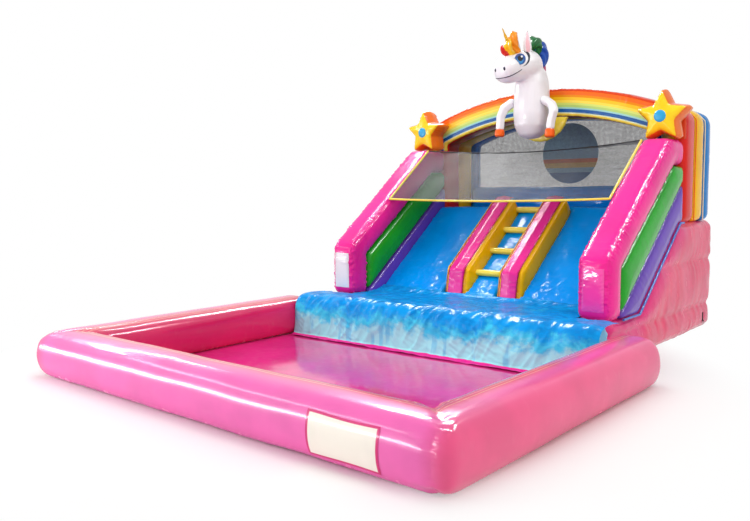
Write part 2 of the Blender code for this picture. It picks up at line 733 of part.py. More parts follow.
def lattice(name, rows, place):
    """A net of square strands: a grid laid out by a function of its two shares, turned into wires."""
    shape = bmesh.new()
    bmesh.ops.create_grid(shape, x_segments=NET_COLUMNS, y_segments=rows, size=0.5)
    for vertex in shape.verts:
        vertex.co = place(vertex.co.x + 0.5, vertex.co.y + 0.5)
    net = part(name, shape, BLACK)
    wires = net.modifiers.new("strands", "WIREFRAME")
    wires.thickness = STRAND
    wires.use_even_offset = True
    wires.use_boundary = True
    wires.use_replace = True
    return net


def binding_seat():
    """Where the binding's middle lies on the rounded inner edge of a wall cap: its X and its drop."""
    seat = BINDING_RADIUS + GAP
    diagonal = math.sqrt(0.5)
    x = WALL_INNER_X + CAP_ROUND * (1 - diagonal) - seat * diagonal
    drop = CAP_ROUND * (1 - diagonal) - seat * diagonal
    return x, drop


def build_nets():
    edge_x, drop = binding_seat()
    across = Vector((0, -math.sin(CAP_ANGLE), math.cos(CAP_ANGLE)))
    foot_z = POST_TOP_Z + (ROOF_NET_FOOT_Y - BASE_FRONT_Y) * CAP_RISE
    foot = Vector((0, ROOF_NET_FOOT_Y, foot_z)) - across * drop
    crest = Vector((0, WALL_CREST_Y, WALL_TOP_Z)) - across * drop
    down_slope = (foot - crest).normalized()
    reach = edge_x - BINDING_RADIUS - STRAND / 2 - GAP

    def sag(share, depth):
        return Vector((0, 0, -depth * (1 - (2 * share - 1) ** 2)))

    def roof(share, rise):
        lowest = foot - down_slope * (BINDING_RADIUS + STRAND)
        depth = ROOF_NET_SAG + (ARCH_NET_SAG - ROOF_NET_SAG) * rise
        return lowest.lerp(crest, rise) + Vector(((2 * share - 1) * reach, 0, 0)) + sag(share, depth)

    lattice("roof_net", ROOF_NET_ROWS, roof)

    seam = STRAND / 2 + SEWN_CLEARANCE
    net_y = ARCH_FRONT_Y + ARCH_ROUND + seam
    corner_z = crest.z
    ledge = Vector((0, crest.y + 2 * seam, corner_z))

    def over_ledge(share, rise):
        x = (2 * share - 1) * reach
        start = ledge + Vector((x, 0, 0))
        shoulder = Vector((x, net_y, corner_z))
        return start.lerp(shoulder, rise) + sag(share, ARCH_NET_SAG * (1 - rise / 2))

    def up_arch(share, rise):
        x = (2 * share - 1) * reach
        shoulder = Vector((x, net_y, corner_z + 2 * seam))
        top = Vector((x, net_y, faceted_ring_height(x) - seam))
        return shoulder.lerp(top, rise) + sag(share, ARCH_NET_SAG * (1 - rise) / 2)

    lattice("ledge_net", LEDGE_NET_ROWS, over_ledge)
    lattice("arch_net", ARCH_NET_ROWS, up_arch)

    rear_foot_z = PARAPET_TOP_Z + seam

    def rear(share, rise):
        x = (2 * share - 1) * (WALL_INNER_X - seam)
        top_z = faceted_ring_height(x) - seam
        return Vector((x, REAR_NET_Y, rear_foot_z + (top_z - rear_foot_z) * rise))

    lattice("rear_net", REAR_NET_ROWS, rear)

    left = [Vector((-edge_x, 0, 0)) + crest.lerp(foot, share) for share in (0.0, 0.5)]
    bottom = [
        Vector(((2 * share - 1) * edge_x, 0, 0)) + foot + sag(share, ROOF_NET_SAG)
        for share in (step / 8 for step in range(9))
    ]
    right = [Vector((edge_x, 0, 0)) + foot.lerp(crest, share) for share in (0.5, 1.0)]
    tube("net_binding", left + bottom + right, BINDING_RADIUS, PALE_YELLOW, resolution=3)

    disc_y = REAR_NET_Y - seam
    rim = [
        (
            REAR_DISC_X + REAR_DISC_RADIUS * math.cos(angle),
            REAR_DISC_Z + REAR_DISC_RADIUS * math.sin(angle),
        )
        for angle in (2 * math.pi * step / 32 for step in range(32))
    ]
    part("rear_disc", prism(rim, "Y", disc_y - REAR_DISC_THICKNESS, disc_y), SKY)


def build_stars():
    """Five-pointed stars whose two lower points stand on the wall caps, with their backs on the arch."""
    middle_z = WALL_TOP_Z + GAP + STAR_RADIUS * math.cos(math.pi / 5)
    back_y = PANEL_FRONT_Y - GAP
    for side, word in ((-1, "left"), (1, "right")):
        middle_x = side * (BASE_HALF_WIDTH - WALL_THICKNESS / 2)
        outline = []
        for step in range(10):
            radius = STAR_WAIST if step % 2 else STAR_RADIUS
            angle = math.pi / 2 + step * math.pi / 5
            outline.append((middle_x + radius * math.cos(angle), middle_z + radius * math.sin(angle)))
        shape = prism(outline, "Y", back_y - STAR_THICKNESS, back_y)
        rounded("star_" + word, shape, AMBER, STAR_ROUND)


def turned(name, profile, steps, finish, grow=0.0):
    """A profile of radius and height, from top to bottom, turned about its own upright axis."""
    shape = bmesh.new()
    last = len(profile) - 1
    heights = [height for _, height in profile]
    middle = (max(heights) + min(heights)) / 2
    points = []
    for index, (radius, height) in enumerate(profile):
        wide = radius + grow if 0 < index < last else radius
        points.append(shape.verts.new((wide, 0, height + math.copysign(grow, height - middle))))
    for first, second in zip(points, points[1:]):
        shape.edges.new((first, second))
    made = part(name, shape, finish)
    screw = made.modifiers.new("turned", "SCREW")
    screw.steps = steps
    screw.render_steps = steps
    screw.use_merge_vertices = True
    screw.merge_threshold = 0.0001
    screw.use_smooth_shade = True
    return made


def egg(name, radius, half_height, steps, finish, grow=0.0):
    """A stuffed lump: an upright ellipsoid of revolution."""
    profile = []
    for step in range(9):
        angle = math.pi * step / 8
        wide = 0.0 if step in (0, 8) else radius * math.sin(angle)
        profile.append((wide, half_height * math.cos(angle)))
    return turned(name, profile, steps, finish, grow)


def aim(target, middle, direction, roll=0.0):
    """Puts an object's origin at a point and turns its upright axis along a direction."""
    turn = direction.to_track_quat("Z", "Y").to_matrix().to_4x4()
    target.matrix_world = Matrix.Translation(middle) @ turn @ Matrix.Rotation(roll, 4, "Z")
    return target


def on_head(up, ahead, aside=0.0):
    """A point from its places along the head's crown, its look and its side."""
    return HEAD_MIDDLE + HEAD_CROWN * up + HEAD_LOOK * ahead + HEAD_SIDE * aside


def build_unicorn():
    """A generic stuffed unicorn: a body sewn to the arch, and a head that looks out over the pool."""
    body_shares = (
        (0.0, 1.0),
        (0.52, 0.96),
        (0.78, 0.87),
        (0.93, 0.72),
        (0.98, 0.50),
        (1.0, 0.30),
        (0.93, 0.15),
        (0.70, 0.05),
        (0.38, 0.01),
        (0.0, 0.0),
    )
    head_shares = (
        (0.0, 1.0),
        (0.42, 0.975),
        (0.63, 0.88),
        (0.69, 0.70),
        (0.70, 0.50),
        (0.78, 0.27),
        (0.93, 0.06),
        (1.0, -0.14),
        (0.88, -0.33),
        (0.55, -0.47),
        (0.0, -0.52),
    )
    body_profile = [(BODY_RADIUS * wide, BODY_HEIGHT * up) for wide, up in body_shares]
    head_profile = [(HEAD_RADIUS * wide, SNOUT_LENGTH * ahead) for wide, ahead in head_shares]
    body_foot = Vector((0, UNICORN_Y, BODY_FOOT_Z))

    head = aim(turned("unicorn_head", head_profile, HEAD_STEPS, WHITE), HEAD_MIDDLE, HEAD_LOOK)
    head_cutter = aim(turned("head_cutter", head_profile, HEAD_STEPS, None, GAP), HEAD_MIDDLE, HEAD_LOOK)
    body = turned("unicorn_body", body_profile, BODY_STEPS, WHITE)
    body.location = body_foot
    body_cutter = turned("body_cutter", body_profile, BODY_STEPS, None, GAP)
    body_cutter.location = body_foot
    reach = BASE_HALF_WIDTH
    top_z = 2 * ARCH_CROWN_Z
    wall = [(-reach, BASE_TOP_Z), (reach, BASE_TOP_Z), (reach, top_z), (-reach, top_z)]
    back_wall = part("back_wall_cutter", prism(wall, "Y", PANEL_FRONT_Y - GAP, ARCH_REAR_Y), None)
    cut(body, head_cutter)
    cut(body, back_wall)
    cut(head, back_wall)

    horn_cutter = build_horn(head_cutter)
    for side, word in ((1, "left"), (-1, "right")):
        ear = egg("unicorn_ear_" + word, EAR_RADIUS, EAR_LENGTH / 2, EAR_STEPS, WHITE)
        middle = on_head(0.86 * HEAD_RADIUS + 0.3 * EAR_LENGTH, -0.3 * EAR_RADIUS, side * EAR_SPREAD)
        aim(ear, middle, HEAD_CROWN - HEAD_LOOK * EAR_LEAN)
        cut(ear, head_cutter)
    build_hair(head_cutter, horn_cutter, body_cutter, back_wall)
    build_arms(body_cutter)


def build_horn(head_cutter):
    root = 0.25 * HORN_LENGTH
    profile = [(0.0, HORN_LENGTH), (HORN_RADIUS, 0.0), (HORN_RADIUS, -root), (0.0, -root)]
    foot = on_head(0.72 * HEAD_RADIUS, HORN_AHEAD)
    way = (HEAD_CROWN + HEAD_LOOK * HORN_LEAN).normalized()
    horn = aim(turned("unicorn_horn", profile, HORN_STEPS, GOLD), foot, way)
    cut(horn, head_cutter)
    return aim(turned("horn_cutter", profile, HORN_STEPS, None, GAP), foot, way)


def build_hair(head_cutter, horn_cutter, body_cutter, back_wall):
    """A forelock of lumps round the horn, and a mane down the back of the head."""
    lock_path = [
        on_head(0.68 * HEAD_RADIUS, HORN_AHEAD + 1.4 * LOCK_RADIUS),
        on_head(1.05 * HEAD_RADIUS, HORN_AHEAD + 0.6 * LOCK_RADIUS, -0.3 * LOCK_RADIUS),
        on_head(1.20 * HEAD_RADIUS, HORN_AHEAD - 0.8 * LOCK_RADIUS, -0.3 * LOCK_RADIUS),
    ]
    lock = tube("unicorn_forelock", lock_path, LOCK_RADIUS, ORANGE, [0.45, 0.9, 1.0], resolution=1)
    cut(lock, head_cutter)
    cut(lock, horn_cutter)

    mane_path = [
        on_head(1.10 * HEAD_RADIUS, -0.8 * HEAD_RADIUS),
        on_head(0.70 * HEAD_RADIUS, -1.3 * HEAD_RADIUS),
        on_head(0.0, -1.4 * HEAD_RADIUS),
        on_head(-0.6 * HEAD_RADIUS, -1.2 * HEAD_RADIUS),
    ]
    mane = tube("unicorn_mane", mane_path, MANE_RADIUS, GREEN, [0.6, 1.0, 0.9, 0.5], resolution=1)
    cut(mane, head_cutter)
    cut(mane, body_cutter)
    cut(mane, back_wall)


def build_arms(body_cutter):
    """Each arm leaves the chest, bends over the arch's lower edge and ends in a hoof."""
    hoof_profile = [
        (0.0, HOOF_LENGTH),
        (HOOF_RADIUS * 0.8, HOOF_LENGTH),
        (HOOF_RADIUS, HOOF_LENGTH * 0.8),
        (HOOF_RADIUS * 0.9, 0.0),
        (0.0, 0.0),
    ]
    for side, word in ((-1, "left"), (1, "right")):
        wrist = Vector((side * WRIST_X, UNICORN_Y - ARM_REACH, WRIST_Z))
        path = [
            Vector((side * 0.5 * BODY_RADIUS, UNICORN_Y - 0.25 * ARM_REACH, SHOULDER_Z)),
            Vector((side * 0.67 * WRIST_X, UNICORN_Y - 0.5 * ARM_REACH, SHOULDER_Z)),
            Vector((side * 0.91 * WRIST_X, UNICORN_Y - 0.7 * ARM_REACH, SHOULDER_Z - ARM_RADIUS)),
            Vector((side * WRIST_X, UNICORN_Y - 0.9 * ARM_REACH, (SHOULDER_Z + WRIST_Z) / 2)),
            wrist,
        ]
        arm = tube("unicorn_arm_" + word, path, ARM_RADIUS, WHITE, [1, 1.05, 1.1, 1, 0.95], resolution=1)
        cut(arm, body_cutter)
        hoof_way = (path[-1] - path[-2]).normalized()
        hoof = turned("unicorn_hoof_" + word, hoof_profile, HOOF_STEPS, ORANGE)
        aim(hoof, wrist + hoof_way * GAP, hoof_way)


def build_anchors():
    """Each anchor is a webbing tab folded round the straight side of a D-ring, which hangs below it."""
    bore = RING_WIRE_RADIUS + TAB_BORE_CLEARANCE
    loop = bore + TAB_THICKNESS
    for side, word in ((-1, "left"), (1, "right")):
        pivot_x = BASE_HALF_WIDTH + GAP + loop
        outline = []
        turn = [math.radians(degrees) for degrees in range(180, 451, 30)]
        for angle in turn:
            outline.append((pivot_x + loop * math.cos(angle), ANCHOR_PIVOT_Z + loop * math.sin(angle)))
        for angle in reversed(turn):
            outline.append((pivot_x + bore * math.cos(angle), ANCHOR_PIVOT_Z + bore * math.sin(angle)))
        outline.append((pivot_x - bore, ANCHOR_PIVOT_Z + TAB_HEIGHT))
        outline.append((pivot_x - loop, ANCHOR_PIVOT_Z + TAB_HEIGHT))
        placed = [(side * x, z) for x, z in outline]
        tab = prism(placed, "Y", ANCHOR_Y - TAB_WIDTH / 2, ANCHOR_Y + TAB_WIDTH / 2)
        part("anchor_tab_" + word, tab, BLACK)

        half = RING_WIDTH / 2
        path = [Vector((0, -half, 0)), Vector((0, half, 0))]
        for degrees in range(0, 181, 20):
            angle = math.radians(degrees)
            bow = (RING_DROP - RING_SHOULDER) * math.sin(angle)
            path.append(Vector((0, half * math.cos(angle), -RING_SHOULDER - bow)))
        ring = tube("anchor_ring_" + word, path, RING_WIRE_RADIUS, STEEL, closed=True, resolution=1)
        ring.location = (side * pivot_x, ANCHOR_Y, ANCHOR_PIVOT_Z)


def build_air_fittings():
    """The inlet sleeve for the blower, and the deflation zip with its slider, both on the rear face."""
    inner = SLEEVE_RADIUS - SLEEVE_WALL
    shape = bmesh.new()
    ring = [(SLEEVE_RADIUS, SLEEVE_LENGTH), (SLEEVE_RADIUS, 0.0), (inner, 0.0), (inner, SLEEVE_LENGTH)]
    corners = [shape.verts.new((radius, 0, height)) for radius, height in ring]
    for index, corner in enumerate(corners):
        shape.edges.new((corner, corners[(index + 1) % len(corners)]))
    sleeve = part("inlet_sleeve", shape, PINK)
    screw = sleeve.modifiers.new("turned", "SCREW")
    screw.steps = 24
    screw.render_steps = 24
    screw.use_merge_vertices = True
    screw.merge_threshold = 0.0001
    aim(sleeve, Vector((SLEEVE_X, BASE_REAR_Y + GAP, SLEEVE_Z)), Vector((0, 1, 0)))

    tape_y = BASE_REAR_Y + GAP
    half = ZIP_WIDTH / 2
    tape = [
        (ZIP_X, ZIP_Z - half),
        (ZIP_X + ZIP_LENGTH, ZIP_Z - half),
        (ZIP_X + ZIP_LENGTH, ZIP_Z + half),
        (ZIP_X, ZIP_Z + half),
    ]
    part("zip_tape", prism(tape, "Y", tape_y, tape_y + ZIP_THICKNESS), BLACK)

    slider_y = tape_y + ZIP_THICKNESS + GAP
    block = [
        (0.0, -SLIDER_HEIGHT / 2),
        (SLIDER_LENGTH * SLIDER_NOSE_SHARE, -SLIDER_HEIGHT / 2),
        (SLIDER_LENGTH, -SLIDER_HEIGHT / 4),
        (SLIDER_LENGTH, SLIDER_HEIGHT / 4),
        (SLIDER_LENGTH * SLIDER_NOSE_SHARE, SLIDER_HEIGHT / 2),
        (0.0, SLIDER_HEIGHT / 2),
    ]
    slider = part("zip_slider", prism(block, "Y", 0.0, SLIDER_DEPTH), STEEL)
    slider.location = (ZIP_X + SLIDER_LENGTH / 2, slider_y, ZIP_Z)


build_pool()
build_notice_panel()
build_toe()
build_apron()
build_base()
build_slide_bed()
build_dividers()
build_walls()
build_arch()
build_nets()
build_stars()
build_unicorn()
build_anchors()
build_air_fittings()
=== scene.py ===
"""Looks of an inflatable water slide with a splash pool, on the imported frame.

Metres, +Z up. The pool lies towards -Y and the slide climbs towards +Y, as in the frame.
"""

import math

import bmesh
import bpy
import numpy as np
from mathutils import Matrix, Vector
from mathutils.bvhtree import BVHTree
from mathutils.kdtree import KDTree


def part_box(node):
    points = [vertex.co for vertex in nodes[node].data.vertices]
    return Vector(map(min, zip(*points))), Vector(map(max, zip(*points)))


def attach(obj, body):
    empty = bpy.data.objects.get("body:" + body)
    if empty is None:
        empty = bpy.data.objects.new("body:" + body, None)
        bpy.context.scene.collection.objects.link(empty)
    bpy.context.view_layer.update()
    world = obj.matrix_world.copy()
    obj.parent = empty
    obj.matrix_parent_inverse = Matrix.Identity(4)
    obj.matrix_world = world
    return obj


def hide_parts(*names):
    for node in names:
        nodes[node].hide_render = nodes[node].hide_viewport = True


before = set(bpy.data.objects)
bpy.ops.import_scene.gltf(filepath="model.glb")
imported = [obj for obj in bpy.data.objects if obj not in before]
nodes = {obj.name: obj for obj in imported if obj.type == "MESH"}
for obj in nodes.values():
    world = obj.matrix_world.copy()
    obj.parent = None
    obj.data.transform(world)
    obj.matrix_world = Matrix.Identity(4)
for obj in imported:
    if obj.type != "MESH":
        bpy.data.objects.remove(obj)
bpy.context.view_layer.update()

# The photograph's camera, as fitted
CAMERA_PLACE = Vector((4.444, -6.228, 1.65))
CAMERA_YAW = math.radians(40.283)
CAMERA_PITCH = math.radians(5.298)
CAMERA_ROLL = math.radians(-0.581)
CAMERA_LENS = 36.23

# Studio: the light of the room, and the white floor, whose shadow clears away from the object
ROOM_LIGHT = 0.50
WHITE = (1, 1, 1, 1)
FLOOR_GREY = (0.93, 0.93, 0.93, 1)
FLOOR_HALF = 40.0
FLOOR_DROP = 0.001
FLOOR_MIDDLE = (-0.3, -1.2, 0.0)
FLOOR_CLEAR_FROM = 2.5
FLOOR_CLEAR_TO = 3.7

# Each broad lamp has its place, target, size, power and colour; they light without being mirrored
PLAIN_WHITE = (1.0, 1.0, 1.0)
WARM_WHITE = (1.0, 0.84, 0.72)
LAMPS = (
    ("overhead", (-0.5, -1.0, 6.5), (0.0, -0.3, 0.0), (7.0, 3.6), 175, PLAIN_WHITE),
    ("front_left", (-6.0, -7.5, 3.0), (0.0, -0.5, 0.8), (8.0, 2.2), 350, PLAIN_WHITE),
    ("right_side", (8.0, -3.0, 3.8), (0.5, 0.5, 0.8), (3.5, 2.5), 130, WARM_WHITE),
    ("right_high", (4.6, -2.0, 6.4), (0.3, 1.2, 1.2), (2.5, 2.0), 60, PLAIN_WHITE),
    ("behind", (1.0, 8.5, 4.5), (0.0, 2.0, 1.2), (4.0, 2.5), 90, PLAIN_WHITE),
)

# The strips are mirrored as streaks in the gloss, and add no light of their own
STRIPS = (
    ("low_strip", (-6.5, -8.7, 0.9), (-2.9, -0.45, 0.3), (9.0, 0.7), 620, PLAIN_WHITE),
    ("face_strip", (-5.8, -7.6, 4.4), (0.0, -0.3, 0.3), (6.0, 0.6), 120, PLAIN_WHITE),
    ("left_strip", (-8.0, -1.5, 4.4), (0.0, -1.5, 0.4), (7.0, 0.35), 190, PLAIN_WHITE),
    ("ridge_strip", (3.2, 1.8, 6.2), (1.7, 1.0, 1.6), (1.8, 0.8), 420, PLAIN_WHITE),
    ("back_strip", (-3.2, 3.9, 5.8), (1.4, 1.0, 1.6), (3.4, 0.7), 430, PLAIN_WHITE),
    ("lane_strip", (-3.0, 2.2, 5.9), (0.0, 1.3, 0.9), (3.2, 0.35), 330, PLAIN_WHITE),
)

# A strip is seen only by rays that have bounced less often than this
GLINT_DEPTH = 2.5

# Colours as they are seen, in hexadecimal
HOT_PINK = "F6249A"
POOL_PINK = "FA6CBC"
POOL_CORAL = "F0607E"
# Painted shade: a darker rose on the pool's side walls and a deeper pink on its inner faces
POOL_SIDE_SHADE_ROSE = "E84A74"
POOL_INSIDE_SHADE = "E0266C"
# Painted highlight lines along the pool's inner crest
CREST_HIGHLIGHT_PINK = "FFB8A8"
FLOOR_MAGENTA = "F43496"
TOE_BLUE = "5CC0EE"
TOE_PINK = "F42C9C"
APRON_BLUE = "0C98E8"
# The apron's lighter and darker azure patches and its cyan and pale colours are painted reflection
APRON_AZURE = "0A8CE0"
APRON_BRIGHT = "10AAFC"
APRON_REFLECTION_CYAN = "44DAFF"
APRON_REFLECTION_PALE = "A4F8FF"
# Painted shade in the apron's folds and creases
APRON_FOLD_SHADE = "2CB0EC"
APRON_CREASE_SHADE = "0A80C8"
BASE_PINK = "F0386F"
BASE_PALE_BAND = "EE8CB0"
BASE_HOT_EDGE = "EA2C86"
LANE_BLUE = "009CFF"
CORE_AMBER = "FFC000"
AMBER = "FFC408"
PALE_YELLOW = "F8E04E"
LEAF_GREEN = "1CAC24"
PURPLE = "6A44BE"
SIGNAL_RED = "DC2018"
BAND_BLUE = "1080D0"
NET_DARK = "141419"
NET_LIGHT = "2A2A32"
STAR_SIDE = "F87818"
STAR_FACE = "FFD81C"
SKY_BLUE = "2CA8E0"
SNOW = "EFEFF2"
INK = "101A30"
IRIS_DEEP = "1A4C94"
IRIS_BRIGHT = "2E86C8"
PUPIL = "040A1C"
EAR_PINK = "F6C4CC"
ORANGE = "FF6410"
GOLD = "E8B41E"
LOCK_ORANGE = "F89410"
LOCK_GREEN = "0E6E34"
LOCK_BLUE = "1450B8"
LOCK_ROSE = "C8688C"
PIPING_BLUE = "4A78D0"
PIPING_RED = "B01040"
PIPING_PALE = "F2E4C8"
PIPING_ORANGE = "F47A18"
CREAM = "FFF8EC"
PANEL_BORDER = "E0307C"
POCKET_PINK = "FA4AAE"
MESH_BLACK = "0E0E12"
STEEL_DARK = "8E9094"
STEEL_LIGHT = "BDBFC2"
GROUND_DUST = "B9A9A0"

# Weave of the coated fabric, and how far dust from the ground climbs
WEAVE_PITCH = 0.004
DUST_HEIGHT = 0.10

# The kind of noise whose lines stand for creases
RIDGED = "RIDGED_MULTIFRACTAL"

# Distance within which two points of a frame's mesh are one
WELD = 0.00001

# Plane waves in a ripple
WAVE_COUNT = 18

# Added to every stored distance to a seam, so that a mesh that stores none reads as far from one
NO_SEAM = 0.001

# The two sides, as the frame's names have them
SIDES = ("left", "right")

# Places that repeat the frame's own sizes
POOL_WALL_X = 2.06
POOL_WALL_Y = -2.875
BASE_SIDE_X = 1.72
BASE_FRONT_Y = 0.24
BASE_REAR_Y = 3.185
POST_X = 1.55
POST_REAR_Y = 0.54
WALL_INNER_X = 1.38
WALL_SLOPE = math.radians(37.4)
BAND_CORNER_Y = 0.941
BAND_FOOT_Z = 0.43
BAND_CREST_Z = 1.27
DECK_Z = 1.42
LANE_CREST_Y = 1.99
ARCH_FRONT_Y = 2.14
ARCH_CENTRE_Z = -1.16
ARCH_RADIUS = 4.0
ARCH_RING = 0.32

# Ways that patches are laid on from
UP = Vector((0, 0, 1))
TO_THE_FRONT = Vector((0, -1, 0))
FROM_THE_FRONT = Vector((0, 1, 0))


def tint(colour, shade=1.0):
    """The linear colour of a hexadecimal one, made lighter or darker by a share."""
    seen = [int(colour[at : at + 2], 16) / 255 for at in (0, 2, 4)]
    linear = [c / 12.92 if c <= 0.04045 else ((c + 0.055) / 1.055) ** 2.4 for c in seen]
    return (*(min(1.0, c * shade) for c in linear), 1.0)


class Signal:
    """A socket of a material's nodes, so that shader maths reads as plain expressions."""

    def __init__(self, finish, socket):
        self.finish = finish
        self.socket = socket

    def maths(self, operation, first, second=0.0):
        return self.finish.node("Math", {"operation": operation}, {0: first, 1: second})

    def __add__(self, other):
        return self.maths("ADD", self, other)

    __radd__ = __add__

    def __sub__(self, other):
        return self.maths("SUBTRACT", self, other)

    def __rsub__(self, other):
        return self.maths("SUBTRACT", other, self)

    def __mul__(self, other):
        return self.maths("MULTIPLY", self, other)

    def __pow__(self, other):
        return self.maths("POWER", self, other)

    def __abs__(self):
        return self.maths("ABSOLUTE", self)


class Finish:
    """A material under way: its nodes, and a shader whose even values are set once."""

    def __init__(self, name, **even):
        self.material = bpy.data.materials.new(name)
        self.material.use_nodes = True
        self.tree = self.material.node_tree
        self.shader = self.tree.nodes["Principled BSDF"]
        for socket, value in even.items():
            self.shader.inputs[socket.replace("_", " ")].default_value = value

    def node(self, kind, settings=None, inputs=None, output=0):
        made = self.tree.nodes.new("ShaderNode" + kind)
        for key, value in (settings or {}).items():
            if key == "stripes":
                self.fill_ramp(made.color_ramp, value)
            else:
                setattr(made, key, value)
        for key, value in (inputs or {}).items():
            if isinstance(value, Signal):
                self.tree.links.new(value.socket, made.inputs[key])
            else:
                made.inputs[key].default_value = value
        return Signal(self, made.outputs[output])

    @staticmethod
    def fill_ramp(ramp, stripes):
        """Stripes are pairs of the place where each begins and its colour, with sharp edges."""
        ramp.interpolation = "CONSTANT"
        while len(ramp.elements) < len(stripes):
            ramp.elements.new(0.5)
        for element, (start, colour) in zip(ramp.elements, stripes):
            element.position = start
            element.color = tint(colour)

    def place(self):
        return self.node("TexCoord", output="Object")

    def axis(self, number):
        """One of a point's own coordinates: 0 across, 1 back, 2 up."""
        return self.node("SeparateXYZ", None, {0: self.place()}, output=number)

    def attribute(self, name):
        return self.node("Attribute", {"attribute_name": name}, output=2)

    def noise(self, vector, scale, detail=2.0, roughness=0.5, kind="FBM"):
        settings = {"noise_type": kind, "normalize": True}
        sockets = {"Vector": vector, "Scale": scale, "Detail": detail, "Roughness": roughness}
        return self.node("TexNoise", settings, sockets)

    def stretched(self, vector, scale):
        return self.node("Mapping", None, {"Vector": vector, "Scale": scale})

    def mix(self, share, first, second):
        settings = {"data_type": "RGBA", "clamp_factor": True}
        return self.node("Mix", settings, {0: share, 6: first, 7: second}, output=2)

    def step(self, value, low, high):
        """0 below low and 1 above high, smooth in between."""
        settings = {"interpolation_type": "SMOOTHSTEP"}
        return self.node("MapRange", settings, {"Value": value, 1: low, 2: high})

    def bump(self, height, distance, strength=1.0, under=None):
        sockets = {"Height": height, "Distance": distance, "Strength": strength}
        if under is not None:
            sockets["Normal"] = under
        return self.node("Bump", None, sockets)

    def feed(self, **sockets):
        for socket, value in sockets.items():
            self.tree.links.new(value.socket, self.shader.inputs[socket.replace("_", " ")])
        return self.material


def coated_fabric(name, colour, roughness=0.22, crinkle=0.0005, crinkle_size=0.16, soft=0.003,
                  deep=0.90, base=None, coat=0.14, gloss=0.20, pucker=0.0022,
                  puckers_per_metre=48.0, pucker_reach=0.05):
    """Glossy PVC-coated fabric: woven cloth under the coating, faint creases, scuffs and dust."""
    finish = Finish(name, Coat_Weight=coat, Coat_Roughness=0.05, Specular_IOR_Level=gloss)
    place = finish.place()
    cloud = finish.noise(place, 2.1, 3.0)
    if base:
        light = base(finish)
        dark = finish.node("HueSaturation", None, {"Value": deep, "Color": light})
    else:
        light, dark = tint(colour, 1.04), tint(colour, deep)
    body = finish.mix(finish.step(cloud, 0.35, 0.65), dark, light)

    rubbed = finish.noise(finish.stretched(place, (1.5, 5.0, 3.0)), 3.0, 2.0)
    scuff = finish.step(rubbed, 0.58, 0.76)
    gap = finish.attribute("seam_gap")
    seamed = finish.step(gap, 0.0, 0.0008) * (1.0 - finish.step(gap, 0.008, pucker_reach))
    beside_seam = finish.node("Attribute", {"attribute_name": "seam_place"}, output=1)
    puckers = finish.noise(beside_seam, puckers_per_metre, 2.0, 0.5)
    low_down = 1.0 - finish.step(finish.axis(2), 0.0, DUST_HEIGHT)
    dust = low_down * finish.step(finish.noise(place, 14.0, 4.0), 0.42, 0.7)
    pale = finish.mix(scuff * 0.012, body, tint(SNOW))
    dusty = finish.mix(dust * 0.05, pale, tint(GROUND_DUST))

    waves = [
        finish.node(
            "TexWave",
            {"wave_type": "BANDS", "bands_direction": way},
            {"Vector": place, "Scale": math.pi / (10 * WEAVE_PITCH)},
            output=1,
        )
        for way in "XYZ"
    ]
    weave = waves[0] + waves[1] + waves[2]
    creases = finish.noise(place, 1 / crinkle_size, 3.0, 0.55, RIDGED)
    normal = finish.bump(finish.noise(place, 3.2, 2.0), soft, 0.5)
    normal = finish.bump(creases, crinkle, 1.0, normal)
    normal = finish.bump(puckers * seamed, pucker, 1.0, normal)
    normal = finish.bump(weave, 0.00003, 0.6, normal)
    rough = roughness + (cloud - 0.5) * 0.10 + scuff * 0.02 + dust * 0.10
    return finish.feed(Base_Color=dusty, Roughness=rough, Normal=normal)


FINISHES = {}


def finish_of(name, *args, **kwargs):
    """A material that is made once, the first time that a piece asks for it."""
    if name not in FINISHES:
        FINISHES[name] = coated_fabric(name, *args, **kwargs)
    return FINISHES[name]


def fluff(finish_name, colour):
    """The softer cloth of the unicorn and its hair."""
    return finish_of(finish_name, colour, roughness=0.32, coat=0.25, crinkle=0.0008,
                     crinkle_size=0.05)


def points_of(mesh):
    flat = np.empty(len(mesh.vertices) * 3, np.float32)
    mesh.vertices.foreach_get("co", flat)
    return flat.reshape(-1, 3).astype(float)


def normals_of(mesh):
    flat = np.empty(len(mesh.vertices) * 3, np.float32)
    mesh.vertices.foreach_get("normal", flat)
    return flat.reshape(-1, 3).astype(float)


def edges_of(mesh):
    flat = np.empty(len(mesh.edges) * 2, np.int32)
    mesh.edges.foreach_get("vertices", flat)
    return flat.reshape(-1, 2)


def set_points(mesh, points):
    mesh.vertices.foreach_set("co", points.astype(np.float32).ravel())
    mesh.update()


def set_attribute(mesh, name, values):
    made = mesh.attributes.new(name, "FLOAT", "POINT")
    made.data.foreach_set("value", np.asarray(values, np.float32))


def set_places(mesh, name, places):
    made = mesh.attributes.new(name, "FLOAT_VECTOR", "POINT")
    made.data.foreach_set("vector", np.asarray(places, np.float32).ravel())


def mesh_from(name, points, faces):
    mesh = bpy.data.meshes.new(name)
    mesh.from_pydata(np.asarray(points, float).tolist(), [], faces)
    mesh.update()
    return mesh


def holder_of(name, mesh):
    holder = bpy.data.objects.new(name, mesh)
    bpy.context.scene.collection.objects.link(holder)
    return holder


def evaluated(holder):
    """The plain mesh that an object's modifiers make; the object is removed."""
    bpy.context.view_layer.update()
    ready = holder.evaluated_get(bpy.context.evaluated_depsgraph_get())
    mesh = bpy.data.meshes.new_from_object(ready)
    old = holder.data
    bpy.data.objects.remove(holder)
    bpy.data.meshes.remove(old)
    return mesh


def outward(mesh):
    """Turns the faces of a closed mesh outwards, after its doubles are merged."""
    shape = bmesh.new()
    shape.from_mesh(mesh)
    bmesh.ops.remove_doubles(shape, verts=shape.verts, dist=WELD)
    bmesh.ops.recalc_face_normals(shape, faces=shape.faces)
    shape.to_mesh(mesh)
    shape.free()
    return mesh


def piece(name, mesh, material, stands_for, body="slide"):
    """A finished piece: smooth, at the origin, riding on its body and standing for its nodes."""
    made = holder_of(name, mesh)
    mesh.materials.clear()
    mesh.materials.append(material)
    mesh.shade_smooth()
    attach(made, body)
    if stands_for:
        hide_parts(*stands_for)
    return made


